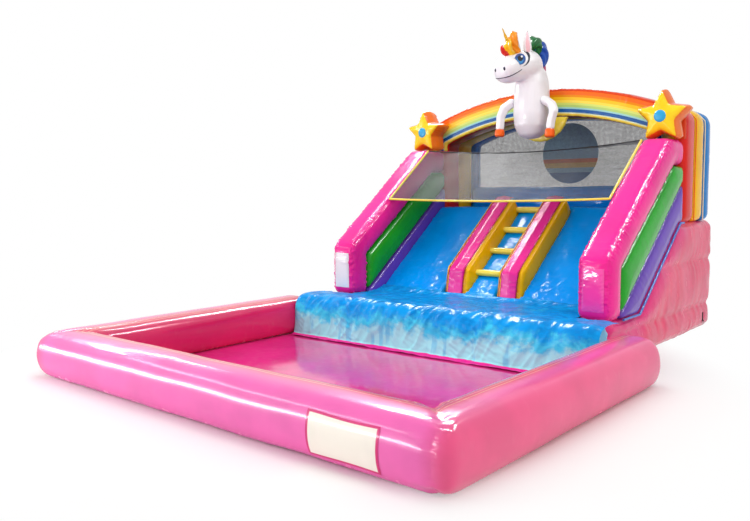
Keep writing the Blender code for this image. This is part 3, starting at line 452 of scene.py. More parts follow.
def grid_faces(rows, columns, wrap=False):
    """The quads of a grid of rows by columns of points; with wrap, each row is a loop."""
    last = columns if wrap else columns - 1
    return [
        (
            row * columns + column,
            row * columns + (column + 1) % columns,
            (row + 1) * columns + (column + 1) % columns,
            (row + 1) * columns + column,
        )
        for row in range(rows - 1)
        for column in range(last)
    ]


def along(line, pitch=0.02):
    """Points every pitch or so along a line of corners."""
    made = []
    for start, end in zip(line, line[1:]):
        start, end = np.array(start, float), np.array(end, float)
        steps = max(1, round(np.linalg.norm(end - start) / pitch))
        made += [start + (end - start) * step / steps for step in range(steps)]
    return np.array([*made, np.array(line[-1], float)])


def loop_line(x, outline):
    """A line of (y, z) corners at one x, as points close together."""
    return along([(x, y, z) for y, z in outline])


def resampled(line, count):
    """A line of corners as evenly spaced points, and how far along it each is."""
    spans = np.linalg.norm(np.diff(line, axis=0), axis=1)
    reach = np.concatenate([[0.0], np.cumsum(spans)])
    places = np.linspace(0, reach[-1], count)
    made = [np.interp(places, reach, values) for values in line.T]
    return np.stack(made, axis=1), places


def smooth_line(corners, count):
    """A smooth line through corners, as evenly spaced points with their values alongside."""
    corners = np.asarray(corners, float)
    ends = 2 * corners[:1] - corners[1:2], 2 * corners[-1:] - corners[-2:-1]
    padded = np.concatenate([ends[0], corners, ends[1]])
    made = []
    for index in range(1, len(padded) - 2):
        before, start, end, after = padded[index - 1 : index + 3]
        for share in np.linspace(0, 1, 12, endpoint=False):
            a = 2 * start
            b = (end - before) * share
            c = (2 * before - 5 * start + 4 * end - after) * share**2
            d = (3 * start - before - 3 * end + after) * share**3
            made.append((a + b + c + d) / 2)
    made.append(corners[-1])
    return resampled(np.array(made), count)[0]


def swept(name, corners, radii, count, sides, lobes=0, lobe_depth=0.0, twist=0.0):
    """A stuffed form along a smooth line, with a radius at each corner and both ends closed."""
    corners = np.column_stack([np.asarray(corners, float), radii])
    line = smooth_line(corners, count)
    middle, radius = line[:, :3], line[:, 3].clip(0.0004)
    way = np.gradient(middle, axis=0)
    way /= np.linalg.norm(way, axis=1)[:, None]
    side = np.cross(way[0], (0.0, 0.1, 1.0) if abs(way[0][2]) < 0.9 else (0.0, 1.0, 0.0))
    points = []
    for row in range(count):
        side = side - way[row] * np.dot(side, way[row])
        side /= np.linalg.norm(side)
        up = np.cross(way[row], side)
        for column in range(sides):
            angle = 2 * math.pi * column / sides
            turn = angle + twist * row / count
            reach = radius[row] * (1 + lobe_depth * math.cos(lobes * turn))
            points.append(middle[row] + (side * math.cos(angle) + up * math.sin(angle)) * reach)
    first, last = len(points), len(points) + 1
    points += [middle[0] - way[0] * radius[0] * 0.3, middle[-1] + way[-1] * radius[-1] * 0.3]
    faces = grid_faces(count, sides, wrap=True)
    top = (count - 1) * sides
    for column in range(sides):
        after = (column + 1) % sides
        faces += [(first, after, column), (last, top + column, top + after)]
    return outward(mesh_from(name, points, faces))


def surface_of(mesh):
    """A mesh's skin, ready for places on it to be found."""
    shape = bmesh.new()
    shape.from_mesh(mesh)
    tree = BVHTree.FromBMesh(shape)
    shape.free()
    return tree


def outside(surface, middle, way):
    """The point and normal of a skin, seen from outside towards a middle."""
    way = way.normalized()
    place, normal, _, _ = surface.ray_cast(middle + way, -way, 2.0)
    return place, normal


def patch(name, surface, place, normal, up, width, height, lift=0.002, rings=14, spokes=48):
    """A thin sewn patch that follows a skin: its mesh, and each point's place across and up it."""
    across = up.cross(normal).normalized()
    upright = normal.cross(across).normalized()
    points, shares = [], []
    for ring in range(rings + 1):
        for spoke in range(spokes if ring else 1):
            angle = 2 * math.pi * spoke / spokes
            share = ring / rings
            u, v = share * math.cos(angle), share * math.sin(angle)
            spot = place + across * (u * width) + upright * (v * height)
            found, turned, _, _ = surface.ray_cast(spot + normal * 0.1, -normal, 0.3)
            if found is None:
                found, turned, _, _ = surface.find_nearest(spot)
            rise = lift * (1 - share**6) - 0.001 * share**6
            points.append(found + turned * rise)
            shares.append((u, v))
    faces = [(0, 1 + spoke, 1 + (spoke + 1) % spokes) for spoke in range(spokes)]
    for ring in range(1, rings):
        first, after = 1 + (ring - 1) * spokes, 1 + ring * spokes
        for spoke in range(spokes):
            beside = (spoke + 1) % spokes
            faces.append((first + spoke, after + spoke, after + beside, first + beside))
    mesh = mesh_from(name, [tuple(point) for point in points], faces)
    shares = np.array(shares)
    set_attribute(mesh, "patch_across", shares[:, 0])
    set_attribute(mesh, "patch_up", shares[:, 1])
    return mesh


class Growth:
    """A tree of geometry nodes under way, whose sizes are named inputs."""

    def __init__(self, name, **sizes):
        self.tree = bpy.data.node_groups.new(name, "GeometryNodeTree")
        self.sockets = {}
        face = self.tree.interface
        face.new_socket("Geometry", in_out="INPUT", socket_type="NodeSocketGeometry")
        for size, kind in sizes.items():
            made = face.new_socket(size, in_out="INPUT", socket_type="NodeSocket" + kind)
            self.sockets[size] = made.identifier
        face.new_socket("Geometry", in_out="OUTPUT", socket_type="NodeSocketGeometry")
        self.given = self.tree.nodes.new("NodeGroupInput")

    def node(self, kind, settings=None, inputs=None):
        made = self.tree.nodes.new(kind)
        for key, value in (settings or {}).items():
            setattr(made, key, value)
        for key, value in (inputs or {}).items():
            if isinstance(value, bpy.types.NodeSocket):
                self.tree.links.new(value, made.inputs[key])
            else:
                made.inputs[key].default_value = value
        return made.outputs

    def size(self, name):
        return self.given.outputs[name]

    def finished(self, geometry):
        """Ends the tree in real mesh with its material."""
        real = self.node("GeometryNodeRealizeInstances", None, {0: geometry})[0]
        sockets = {0: real, "Material": self.size("Finish")}
        dressed = self.node("GeometryNodeSetMaterial", None, sockets)[0]
        end = self.tree.nodes.new("NodeGroupOutput")
        self.tree.links.new(dressed, end.inputs[0])
        return self

    def grow(self, mesh, **values):
        """The plain mesh that the tree makes from a line mesh."""
        holder = holder_of(self.tree.name, mesh)
        modifier = holder.modifiers.new(self.tree.name, "NODES")
        modifier.node_group = self.tree
        for size, value in values.items():
            modifier[self.sockets[size]] = value
        return evaluated(holder)


def line_mesh(lines):
    """Polylines as one mesh of edges."""
    points, edges = [], []
    for line in lines:
        first = len(points)
        points += [tuple(point) for point in line]
        edges += [(at, at + 1) for at in range(first, len(points) - 1)]
    mesh = bpy.data.meshes.new("line")
    mesh.from_pydata(points, edges, [])
    return mesh


def piping_tree():
    """Round piping along lines."""
    growth = Growth("piping", Radius="Float", Sides="Int", Finish="Material")
    curve = growth.node("GeometryNodeMeshToCurve", None, {"Mesh": growth.given.outputs[0]})[0]
    sockets = {"Resolution": growth.size("Sides"), 4: growth.size("Radius")}
    ring = growth.node("GeometryNodeCurvePrimitiveCircle", None, sockets)[0]
    sockets = {"Curve": curve, "Profile Curve": ring, "Fill Caps": True}
    return growth.finished(growth.node("GeometryNodeCurveToMesh", None, sockets)[0])


def stitch_tree():
    """Short stitches, evenly spaced along lines."""
    growth = Growth("stitches", Pitch="Float", Length="Float", Thread="Float", Finish="Material")
    curve = growth.node("GeometryNodeMeshToCurve", None, {"Mesh": growth.given.outputs[0]})[0]
    sockets = {"Curve": curve, "Length": growth.size("Pitch")}
    places = growth.node("GeometryNodeCurveToPoints", {"mode": "LENGTH"}, sockets)
    sockets = {"Vertices": 6, "Radius": growth.size("Thread"), "Depth": growth.size("Length")}
    thread = growth.node("GeometryNodeMeshCylinder", None, sockets)[0]
    sockets = {"Points": places[0], "Instance": thread, "Rotation": places["Rotation"]}
    return growth.finished(growth.node("GeometryNodeInstanceOnPoints", None, sockets)[0])


def ripple(points, pitch, seed):
    """Smooth noise of about one wavelength and a spread of 1: plane waves in seeded directions."""
    chance = np.random.default_rng(seed)
    ways = chance.normal(size=(WAVE_COUNT, 3))
    lengths = np.linalg.norm(ways, axis=1)[:, None] * chance.uniform(0.7, 1.6, (WAVE_COUNT, 1))
    ways /= lengths * pitch
    phases = chance.uniform(0, 2 * math.pi, WAVE_COUNT)
    return np.sin(2 * math.pi * points @ ways.T + phases).sum(axis=1) * math.sqrt(2 / WAVE_COUNT)


def nearest(points, targets):
    """For each point, the nearest target and its distance."""
    tree = KDTree(len(targets))
    for index, target in enumerate(targets):
        tree.insert(target, index)
    tree.balance()
    found = [tree.find(point) for point in points]
    places = np.array([hit[0] for hit in found])
    return places, np.array([hit[2] for hit in found])


def even_skin(name, meshes, cell):
    """One skin of even small faces round closed meshes."""
    shape = bmesh.new()
    for mesh in meshes:
        shape.from_mesh(mesh)
    bmesh.ops.remove_doubles(shape, verts=shape.verts, dist=WELD)
    merged = bpy.data.meshes.new(name)
    shape.to_mesh(merged)
    shape.free()
    holder = holder_of(name, merged)
    remesh = holder.modifiers.new("even_skin", "REMESH")
    remesh.mode = "VOXEL"
    remesh.voxel_size = cell
    mesh = evaluated(holder)
    mesh.name = name
    return mesh


def soften(mesh, rounds, share=0.6):
    """Rounds a mesh by moving each point towards the middle of its neighbours."""
    points = points_of(mesh)
    first, second = edges_of(mesh).T
    count = np.bincount(np.concatenate([first, second]), minlength=len(points))
    for _ in range(rounds):
        middle = np.empty_like(points)
        for axis in range(3):
            total = np.bincount(first, points[second, axis], len(points))
            total += np.bincount(second, points[first, axis], len(points))
            middle[:, axis] = total / count
        points += (middle - points) * share
    set_points(mesh, points)


def node_skin(name, node, cell, rounds=0):
    """The even skin of one node of the frame, softened."""
    mesh = even_skin(name, [nodes[node].data], cell)
    if rounds:
        soften(mesh, rounds)
    return mesh


def puff(mesh, seams, swell=0.0, swell_reach=0.12, pinch=0.004, gather=0.003, pitch=0.07,
         reach=0.07, wobble=0.002, free=None, seed=1):
    """Blows a skin up between its seams, and gathers it where a seam draws it in."""
    points, normals = points_of(mesh), normals_of(mesh)
    places, gaps = nearest(points, seams)
    lift = swell * (1 - np.exp(-((gaps / swell_reach) ** 2)))
    if free is not None:
        lift *= free(normals)
    lift -= pinch * np.exp(-((gaps / 0.03) ** 2))
    span = reach * (1.0 + 0.45 * ripple(places, 3.1 * pitch, seed + 1)).clip(0.3, 2.0)
    creases = np.abs(ripple(places, pitch, seed)) - 0.75
    lift += gather * creases * np.exp(-gaps / span)
    lift += wobble * ripple(points, 0.55, seed + 2) * (1 - np.exp(-gaps / 0.1))
    set_points(mesh, points + normals * lift[:, None])
    if "seam_gap" not in mesh.attributes:
        set_attribute(mesh, "seam_gap", gaps.clip(0.0, 1.0) + NO_SEAM)
        set_places(mesh, "seam_place", places)


def rim_points(mesh, axis, low=0.55, high=0.82):
    """The points of a skin where it turns from its side round to its edge."""
    turned = np.abs(normals_of(mesh)[:, axis])
    return points_of(mesh)[(turned > low) & (turned < high)]


def chamber(name, nodes_shown, material, slot, cell, rounds, axis=0, more_seams=(), **blown):
    """An air chamber that stands for nodes of the frame: their own shape, rounded and blown up."""
    mesh = even_skin(name, [nodes[node].data for node in nodes_shown], cell)
    soften(mesh, rounds)
    puff(mesh, np.concatenate([rim_points(mesh, axis), *more_seams]), **blown)
    return piece(name, mesh, material, nodes_shown)


# How freely each point of a skin swells, by the way it faces


def sideways(normals):
    return np.abs(normals[:, 0])


def upwards(normals):
    return normals[:, 2].clip(0, 1)


def skywards(normals):
    return (normals[:, 2] - normals[:, 1]).clip(0, 1)


def across_arch(normals):
    return 1 - np.abs(normals[:, 1])


def across_front(normals):
    return (-normals[:, 1]).clip(0, 1)


def round_base(normals):
    return np.maximum(np.abs(normals[:, 0]), np.abs(normals[:, 1]) * 0.5)


def make_camera():
    """The camera at the photograph's place and angle."""
    camera = bpy.data.cameras.new("photo_view")
    camera.lens = CAMERA_LENS
    camera.clip_end = 100
    holder = holder_of("photo_view", camera)
    ahead = Vector(
        (
            -math.sin(CAMERA_YAW) * math.cos(CAMERA_PITCH),
            math.cos(CAMERA_YAW) * math.cos(CAMERA_PITCH),
            -math.sin(CAMERA_PITCH),
        )
    )
    level = Vector((math.cos(CAMERA_YAW), math.sin(CAMERA_YAW), 0))
    above = level.cross(ahead)
    right = level * math.cos(CAMERA_ROLL) + above * math.sin(CAMERA_ROLL)
    top = -level * math.sin(CAMERA_ROLL) + above * math.cos(CAMERA_ROLL)
    turn = Matrix((right, top, -ahead)).transposed().to_4x4()
    holder.matrix_world = Matrix.Translation(CAMERA_PLACE) @ turn
    bpy.context.scene.camera = holder


def make_room():
    """The world: white where the camera or a gloss sees it, dimmer as light on the object."""
    world = bpy.data.worlds.new("room")
    bpy.context.scene.world = world
    world.use_nodes = True
    made, links = world.node_tree.nodes, world.node_tree.links
    background = made["Background"]
    background.inputs["Color"].default_value = WHITE
    rays = made.new("ShaderNodeLightPath")
    seen = made.new("ShaderNodeMath")
    seen.operation = "MAXIMUM"
    links.new(rays.outputs["Is Camera Ray"], seen.inputs[0])
    mirrored = made.new("ShaderNodeMath")
    mirrored.operation = "MAXIMUM"
    links.new(rays.outputs["Is Glossy Ray"], mirrored.inputs[0])
    links.new(rays.outputs["Is Transmission Ray"], mirrored.inputs[1])
    links.new(mirrored.outputs[0], seen.inputs[1])
    strength = made.new("ShaderNodeMapRange")
    links.new(seen.outputs[0], strength.inputs["Value"])
    strength.inputs["To Min"].default_value = ROOM_LIGHT
    strength.inputs["To Max"].default_value = 1.0
    links.new(strength.outputs[0], background.inputs["Strength"])


def mirrored_once(lamp):
    """Lets a lamp be seen in a gloss that the camera sees, but not in what that gloss throws on."""
    lamp.use_nodes = True
    tree = lamp.node_tree
    rays = tree.nodes.new("ShaderNodeLightPath")
    first = tree.nodes.new("ShaderNodeMath")
    first.operation = "LESS_THAN"
    first.inputs[1].default_value = GLINT_DEPTH
    tree.links.new(rays.outputs["Ray Depth"], first.inputs[0])
    tree.links.new(first.outputs[0], tree.nodes["Emission"].inputs["Strength"])


def make_lamp(name, place, target, size, power, colour):
    lamp = bpy.data.lights.new(name, "AREA")
    lamp.shape = "RECTANGLE"
    lamp.size, lamp.size_y = size
    lamp.energy = power
    lamp.color = colour
    holder = holder_of(name, lamp)
    look = (Vector(target) - Vector(place)).to_track_quat("-Z", "Y").to_matrix().to_4x4()
    holder.matrix_world = Matrix.Translation(place) @ look
    holder.visible_camera = False
    return holder


def make_lamps():
    for lamp in LAMPS:
        make_lamp(*lamp).visible_glossy = False
    for strip in STRIPS:
        lamp = make_lamp(*strip)
        lamp.visible_diffuse = False
        mirrored_once(lamp.data)


def make_ground():
    """The floor, which keeps the shadow near the object and clears to white further out."""
    finish = Finish("studio_floor", Base_Color=FLOOR_GREY, Roughness=0.9)
    ends = {0: finish.place(), 1: FLOOR_MIDDLE}
    away = finish.node("VectorMath", {"operation": "SUBTRACT"}, ends)
    far = finish.node("VectorMath", {"operation": "LENGTH"}, {0: away}, output="Value")
    seen = finish.node("LightPath", output="Is Camera Ray")
    white = finish.node("Emission", None, {"Color": WHITE, "Strength": 1.0})
    mirrored = finish.node("LightPath", output="Is Glossy Ray")
    seen = finish.node("Math", {"operation": "MAXIMUM"}, {0: seen, 1: mirrored})
    share = finish.step(far, FLOOR_CLEAR_FROM, FLOOR_CLEAR_TO) * seen
    plain = Signal(finish, finish.shader.outputs[0])
    mixed = finish.node("MixShader", None, {0: share, 1: plain, 2: white})
    surface = finish.tree.nodes["Material Output"].inputs["Surface"]
    finish.tree.links.new(mixed.socket, surface)
    signs = ((-1, -1), (1, -1), (1, 1), (-1, 1))
    corners = [(x * FLOOR_HALF, y * FLOOR_HALF, -FLOOR_DROP) for x, y in signs]
    mesh = mesh_from("studio_floor", corners, [(0, 1, 2, 3)])
    mesh.materials.append(finish.material)
    holder_of("studio_floor", mesh)


# Splash pool

# Corner seams, and how far inwards from a wall's middle its painted highlight lines and crest seams
# lie
POOL_MITRE = ((1.84, -2.66, 0.05), (1.87, -2.69, 0.40), (2.2, -3.02, 0.40))
CREST_HIGHLIGHT_LINES = (0.040, 0.075, 0.110)
CREST_SEAMS = ((0.165, 0.36), (0.125, 0.395), (-0.165, 0.36))

# The welded lap beside the right corner, and how much rounder the outer faces are
LAP_X = 2.155
POOL_FULLNESS = 0.035
POOL_MIDDLE_Z = 0.19
POOL_HALF_HEIGHT = 0.21


def pool_colours(finish):
    """Hot pink outside and coral on top, with painted shade (a darker rose on the side walls,
    deeper pink inside) and pale painted highlight lines along the inner crest.
    """
    inward = finish.attribute("inward")
    outside = finish.mix(finish.step(inward, -0.06, 0.07), tint(POOL_PINK), tint(POOL_CORAL))
    # Painted shade: a darker rose towards both side walls
    aside = abs(finish.axis(0))
    outside = finish.mix(finish.step(aside, 2.05, 2.25) * 0.75, outside, tint(POOL_SIDE_SHADE_ROSE))
    # Painted shade: deeper pink on the inner faces
    body = finish.mix(finish.step(inward, 0.13, 0.20), outside, tint(POOL_INSIDE_SHADE))
    # Pale painted highlight lines along the inner crest
    for place in CREST_HIGHLIGHT_LINES:
        line = 1.0 - finish.step(abs(inward - place), 0.002, 0.006)
        body = finish.mix(line * 0.8, body, tint(CREST_HIGHLIGHT_PINK))
    return body


def make_pool_walls():
    names = ["pool_wall_front", "pool_wall_left", "pool_wall_right"]
    mesh = even_skin("pool_walls", [nodes[name].data for name in names], 0.018)
    soften(mesh, 14)
    points = points_of(mesh)
    sides = np.abs(points[:, 0])
    inward = np.minimum(points[:, 1] - POOL_WALL_Y, POOL_WALL_X - sides)
    set_attribute(mesh, "inward", inward)

    mitres = [along([(side * x, y, z) for x, y, z in POOL_MITRE]) for side in (-1, 1)]
    lap = points[(np.abs(points[:, 0] - LAP_X) < 0.010) & (points[:, 1] < POOL_WALL_Y - 0.05)]
    seams = np.concatenate([*mitres, lap])
    puff(mesh, seams, pinch=0.009, gather=0.009, pitch=0.045, reach=0.05, wobble=0.0015, seed=3)
    points, normals = points_of(mesh), normals_of(mesh)
    outer = (-inward / 0.1).clip(0, 1) * (1 - np.abs(normals[:, 2])).clip(0, 1)
    off_middle = (points[:, 2] - POOL_MIDDLE_Z) / POOL_HALF_HEIGHT
    fuller = -POOL_FULLNESS * (off_middle**2).clip(0, 1) * outer
    set_points(mesh, points + normals * fuller[:, None])
    crest = []
    for offset, level in CREST_SEAMS:
        x, y = POOL_WALL_X - offset, POOL_WALL_Y + offset
        loop = [(-x, 0.0, level), (-x, y, level), (x, y, level), (x, 0.0, level)]
        crest.append(along(loop, 0.015))
    puff(mesh, np.concatenate(crest), pinch=0.0025, gather=0.0, wobble=0.0)
    material = finish_of("pool_wall_pvc", HOT_PINK, roughness=0.22, base=pool_colours, coat=0.28,
                         gloss=0.28, crinkle=0.00004, pucker=0.004)
    return piece("pool_walls", mesh, material, names)


def make_pool_floor():
    low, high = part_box("pool_floor")
    columns, rows = 150, 100
    xs = np.linspace(low.x, high.x, columns)
    ys = np.linspace(low.y, high.y, rows)
    grid = np.array([(x, y, high.z) for y in ys for x in xs])
    grid[:, 2] += 0.002 + 0.001 * ripple(grid * (1, 1, 0), 0.9, 21).clip(-1, 1)
    mesh = mesh_from("pool_floor_sheet", grid, grid_faces(rows, columns))
    material = finish_of("pool_floor_pvc", FLOOR_MAGENTA, roughness=0.10, crinkle=0.00002,
                         soft=0.0008, coat=0.45, gloss=0.35)
    floor = piece("pool_floor_sheet", mesh, material, ["pool_floor"])


# Toe and apron

# The section of the toe tube under the apron: its half width, middle, and the power of its round
APRON_HALF_TOE = 0.252
TOE_MIDDLE_Z = 0.22
TOE_SQUARENESS = 0.625

# The apron's line behind the toe and down its front
APRON_REAR_Y = 0.80
APRON_SHELF = ((0.72, 0.470), (0.66, 0.455), (0.46, 0.450), (0.26, 0.455))
APRON_TAIL = ((-0.256, 0.16), (-0.262, 0.10), (-0.274, 0.045), (-0.300, 0.020), (-0.340, 0.016))
APRON_FRONT_Y = 0.15
APRON_HEM_Y = (-0.32, -0.262)
APRON_LEAST_Z = 0.0125

# Its sides, and the edges of the posts and the dividers that it is cut out round
APRON_INNER_X = 1.40
APRON_OUTER_X = 1.832
POST_FACE_Y = 0.205
DIVIDER_FOOT_Y = 0.775
CLIMB_EDGE_X = 0.175
LANE_EDGE_X = 0.505


def lane_height(y):
    """The height of the lanes' surface."""
    return DECK_Z - (LANE_CREST_Y - y) * math.tan(WALL_SLOPE)


def apron_section():
    """The apron's line from the foot of the slope, over the toe tube, down to the pool floor."""
    front = []
    for degrees in range(75, 181, 7):
        angle = math.radians(degrees)
        across, up = math.cos(angle), math.sin(angle)
        y = APRON_HALF_TOE * math.copysign(abs(across) ** TOE_SQUARENESS, across)
        front.append((y, TOE_MIDDLE_Z + APRON_HALF_TOE * max(up, 0.0) ** TOE_SQUARENESS))
    slope = [(APRON_REAR_Y, lane_height(APRON_REAR_Y) + 0.004), *APRON_SHELF]
    corners = [*slope, *front, *APRON_TAIL]
    return np.array([(y, z) for y, z in corners if z > 0.2 or y < -0.25])


def apron_colours(finish):
    """Azure on the shelf in lighter and darker patches of painted reflection, paling down the toe
    as painted reflection, with painted shade in folds and creases, and a pink hem.
    """
    place = finish.place()
    height = finish.axis(2)
    wedges = finish.noise(finish.stretched(place, (1.0, 0.6, 0.30)), 5.0, 3.0, 0.55) - 0.5
    patches = finish.noise(finish.stretched(place, (1.0, 1.4, 1.4)), 6.0, 4.0, 0.65)
    # Painted reflection: how far the sheet pales to cyan and near white further down the toe
    down = 1.0 - finish.step(height + wedges * 0.30 + (patches - 0.5) * 0.35, 0.10, 0.50)
    # Lighter and darker azure patches, as painted reflection
    azure = finish.mix(finish.step(patches, 0.35, 0.65), tint(APRON_AZURE), tint(APRON_BRIGHT))
    reflected_cyan = finish.mix(finish.step(down, 0.12, 0.50), azure, tint(APRON_REFLECTION_CYAN))
    reflected_pale = finish.mix(finish.step(down, 0.50, 0.92), reflected_cyan, tint(APRON_REFLECTION_PALE))
    # Painted shade: darker azure in folds on the pale part, and darker lines along creases
    folds = finish.noise(finish.stretched(place, (1.0, 0.5, 0.16)), 9.0, 2.0)
    folds = finish.step(folds, 0.56, 0.66)
    fold_shaded = finish.mix(folds * (down * 0.45), reflected_pale, tint(APRON_FOLD_SHADE))
    creases = finish.noise(finish.stretched(place, (1.0, 1.0, 0.6)), 9.0, 4.0, 0.6, RIDGED)
    crease_shaded = finish.mix(finish.step(creases, 0.72, 0.90) * 0.5, fold_shaded, tint(APRON_CREASE_SHADE))
    return finish.mix(finish.step(height, 0.036, 0.040), tint(TOE_PINK), crease_shaded)


def toe_colours(finish):
    """Pale blue over the top, magenta along the foot."""
    return finish.mix(finish.step(finish.axis(2), 0.115, 0.125), tint(TOE_PINK), tint(TOE_BLUE))


def apron_lift(x, down, front, hang):
    """How far folds and creases raise the apron from its line, coarse ones first."""
    flat = np.stack([x, down * 0.30, down * 0], axis=1)
    folds = ripple(flat, 0.42, 31)
    skewed = np.stack([x + 0.35 * down, down * 0.7, down * 0], axis=1)
    creases = 1 - np.abs(ripple(skewed, 0.17, 32)) * 1.1
    crossed = np.stack([x - 0.5 * down, down * 0.9, down * 0], axis=1)
    small = 1 - np.abs(ripple(crossed, 0.085, 33)) * 1.1
    tiny = 1 - np.abs(ripple(skewed, 0.045, 34)) * 1.1
    calm = (0.5 + 0.5 * ripple(flat, 0.55, 35)).clip(0.12, 1)
    hanging = np.stack([x + 0.12 * down, down * 0.12, down * 0], axis=1)
    drapes = 1 - np.abs(ripple(hanging, 0.30, 36))
    lift = 0.006 + front * (0.008 + 0.013 * folds.clip(-1.4, 1.4) + 0.012 * drapes.clip(-0.8, 1))
    lift += (0.75 + 0.25 * front) * 0.008 * creases.clip(-0.6, 1)
    lift += (0.75 + 0.15 * hang) * calm * 0.0040 * small.clip(-0.6, 1)
    lift += (0.5 + 0.5 * hang) * calm * 0.0008 * tiny.clip(-0.6, 1)
    ends = np.clip((APRON_OUTER_X - np.abs(x)) / 0.10, 0, 1)
    return lift * (0.15 + 0.85 * ends)


def without_loose_points(mesh):
    shape = bmesh.new()
    shape.from_mesh(mesh)
    loose = [vertex for vertex in shape.verts if not vertex.link_faces]
    bmesh.ops.delete(shape, geom=loose, context="VERTS")
    shape.to_mesh(mesh)
    shape.free()
    return mesh


def make_apron():
    """The loose sheet over the toe, cut out round the posts and the dividers' feet."""
    rows = 120
    section, places = resampled(apron_section(), rows)
    section_way = np.gradient(section, axis=0)
    section_way /= np.linalg.norm(section_way, axis=1)[:, None]
    outward_way = np.stack([section_way[:, 1], -section_way[:, 0]], axis=1)
    inner = np.linspace(-APRON_INNER_X, APRON_INNER_X, 273)
    side = np.linspace(APRON_INNER_X, APRON_OUTER_X, 48)[1:]
    xs = np.concatenate([-side[::-1], inner, side])
    columns = len(xs)
    x = np.tile(xs, rows)
    row = np.repeat(np.arange(rows), columns)
    down = places[row]
    over = np.interp(APRON_FRONT_Y, -section[:, 0], places)
    front = np.clip((down - over + 0.10) / 0.16, 0, 1)
    hang = np.clip((down - over) / 0.25, 0, 1)
    lift = apron_lift(x, down, front, hang)
    lift[row < 4] *= 0.25
    lift *= np.interp(section[row, 0], APRON_HEM_Y, [0.25, 1.0])
    points = np.stack([x, section[row, 0], section[row, 1]], axis=1)
    points[:, 1] += outward_way[row, 0] * lift
    points[:, 2] = np.maximum(points[:, 2] + outward_way[row, 1] * lift, APRON_LEAST_Z)

    faces = []
    for face in grid_faces(rows, columns):
        middle_x = abs(x[face[0]] + x[face[1]]) / 2
        y = section[row[face[0]], 0]
        beside_post = middle_x > APRON_INNER_X and y > POST_FACE_Y
        under_divider = CLIMB_EDGE_X < middle_x < LANE_EDGE_X and y > DIVIDER_FOOT_Y
        if not beside_post and not under_divider:
            faces.append(face)
    mesh = without_loose_points(mesh_from("splash_apron_sheet", points, faces))
    material = finish_of("apron_pvc", APRON_BLUE, roughness=0.20, crinkle=0.003, crinkle_size=0.075,
                         deep=0.92, base=apron_colours, coat=0.0, gloss=0.07)
    apron = piece("splash_apron_sheet", mesh, material, ["splash_apron"])


# Base, lanes and deck

# Heights of the seams round the base
BASE_SEAMS = (0.29, 0.82)

# A skin stays this far behind a fitting, and comes out again by the rise within the reach round it
PRESSED_GAP = 0.0015
PRESSED_RISE = 0.045
PRESSED_REACH = 0.08


def base_colours(finish):
    """Rose sides, hotter just under the walls' lower piping and in soft upright bands."""
    back, up = finish.axis(1), finish.axis(2)
    rise, run = math.sin(WALL_SLOPE), math.cos(WALL_SLOPE)
    below = (back - BAND_CORNER_Y) * rise - (up - BAND_FOOT_Z) * run
    near = 1.0 - finish.step(below, 0.10, 0.34)
    stretch = finish.stretched(finish.place(), (1.0, 5.0, 0.5))
    bands = finish.step(finish.noise(stretch, 1.3, 1.0), 0.42, 0.62)
    rose = finish.mix(bands * 0.22, tint(BASE_PINK), tint(BASE_PALE_BAND))
    return finish.mix(near * 0.85, rose, tint(BASE_HOT_EDGE))


def base_seams():
    """Lines round the base's four faces, where its inner webs draw the skin in."""
    lines = []
    for level in BASE_SEAMS:
        for side in (-1, 1):
            x = side * BASE_SIDE_X
            lines.append(loop_line(x, [(BASE_FRONT_Y, level), (BASE_REAR_Y, level)]))
        for y in (BASE_FRONT_Y, BASE_REAR_Y):
            lines.append(along([(-BASE_SIDE_X, y, level), (BASE_SIDE_X, y, level)]))
    return lines


def press_in(mesh, node, axis):
    """Holds a skin flat behind a fitting that is sewn to it."""
    low, high = (np.array(corner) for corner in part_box(node))
    middle = (low + high) / 2
    side = math.copysign(1, middle[axis])
    face = min(abs(low[axis]), abs(high[axis]))
    points = points_of(mesh)
    beyond = np.maximum(np.abs(points - middle) - (high - low) / 2, 0)
    beyond[:, axis] = 0
    away = np.linalg.norm(beyond, axis=1)
    limit = face - PRESSED_GAP + PRESSED_RISE * (away / PRESSED_REACH) ** 2
    near = (away < PRESSED_REACH) & (points[:, axis] * side > face - PRESSED_REACH)
    held = np.minimum(points[:, axis] * side, limit) * side
    points[:, axis] = np.where(near, held, points[:, axis])
    set_points(mesh, points)


def make_base():
    """Toe tube and pressurised base."""
    toe = finish_of("toe_pvc", TOE_BLUE, roughness=0.18, base=toe_colours, coat=0.2)
    chamber("toe_chamber", ["toe_tube"], toe, "blue_pvc", 0.016, 12, gather=0.005, pinch=0.004,
            seed=5)
    rose = finish_of("base_pvc", BASE_PINK, roughness=0.26, base=base_colours, coat=0.15, gloss=0.2,
                     crinkle=0.0002, pucker=0.005, puckers_per_metre=14.0, pucker_reach=0.16)
    base = chamber("base_chamber", ["slide_base"], rose, "pink_pvc", 0.024, 8,
                   more_seams=base_seams(), swell=0.024, swell_reach=0.14, pinch=0.014,
                   gather=0.0045, pitch=0.17, reach=0.10, wobble=0.003, free=round_base, seed=7)
    press_in(base.data, "zip_tape", 1)
    for word in SIDES:
        press_in(base.data, "anchor_tab_" + word, 0)
        press_in(base.data, "anchor_ring_" + word, 0)


def wrinkle(mesh):
    """Soft wrinkles that a loose top sheet keeps, deeper towards the foot of the slope."""
    points, normals = points_of(mesh), normals_of(mesh)
    low_down = np.clip((1.5 - points[:, 1]) / 0.8, 0.15, 1)
    skewed = points * (1.0, 0.6, 0.6)
    creases = 1 - np.abs(ripple(skewed, 0.26, 81)) * 1.1
    small = 1 - np.abs(ripple(points + points[:, ::-1] * 0.2, 0.11, 82)) * 1.1
    lift = low_down * (0.007 * creases.clip(-0.6, 1) + 0.003 * small.clip(-0.6, 1))
    set_points(mesh, points + normals * (lift * normals[:, 2].clip(0, 1))[:, None])


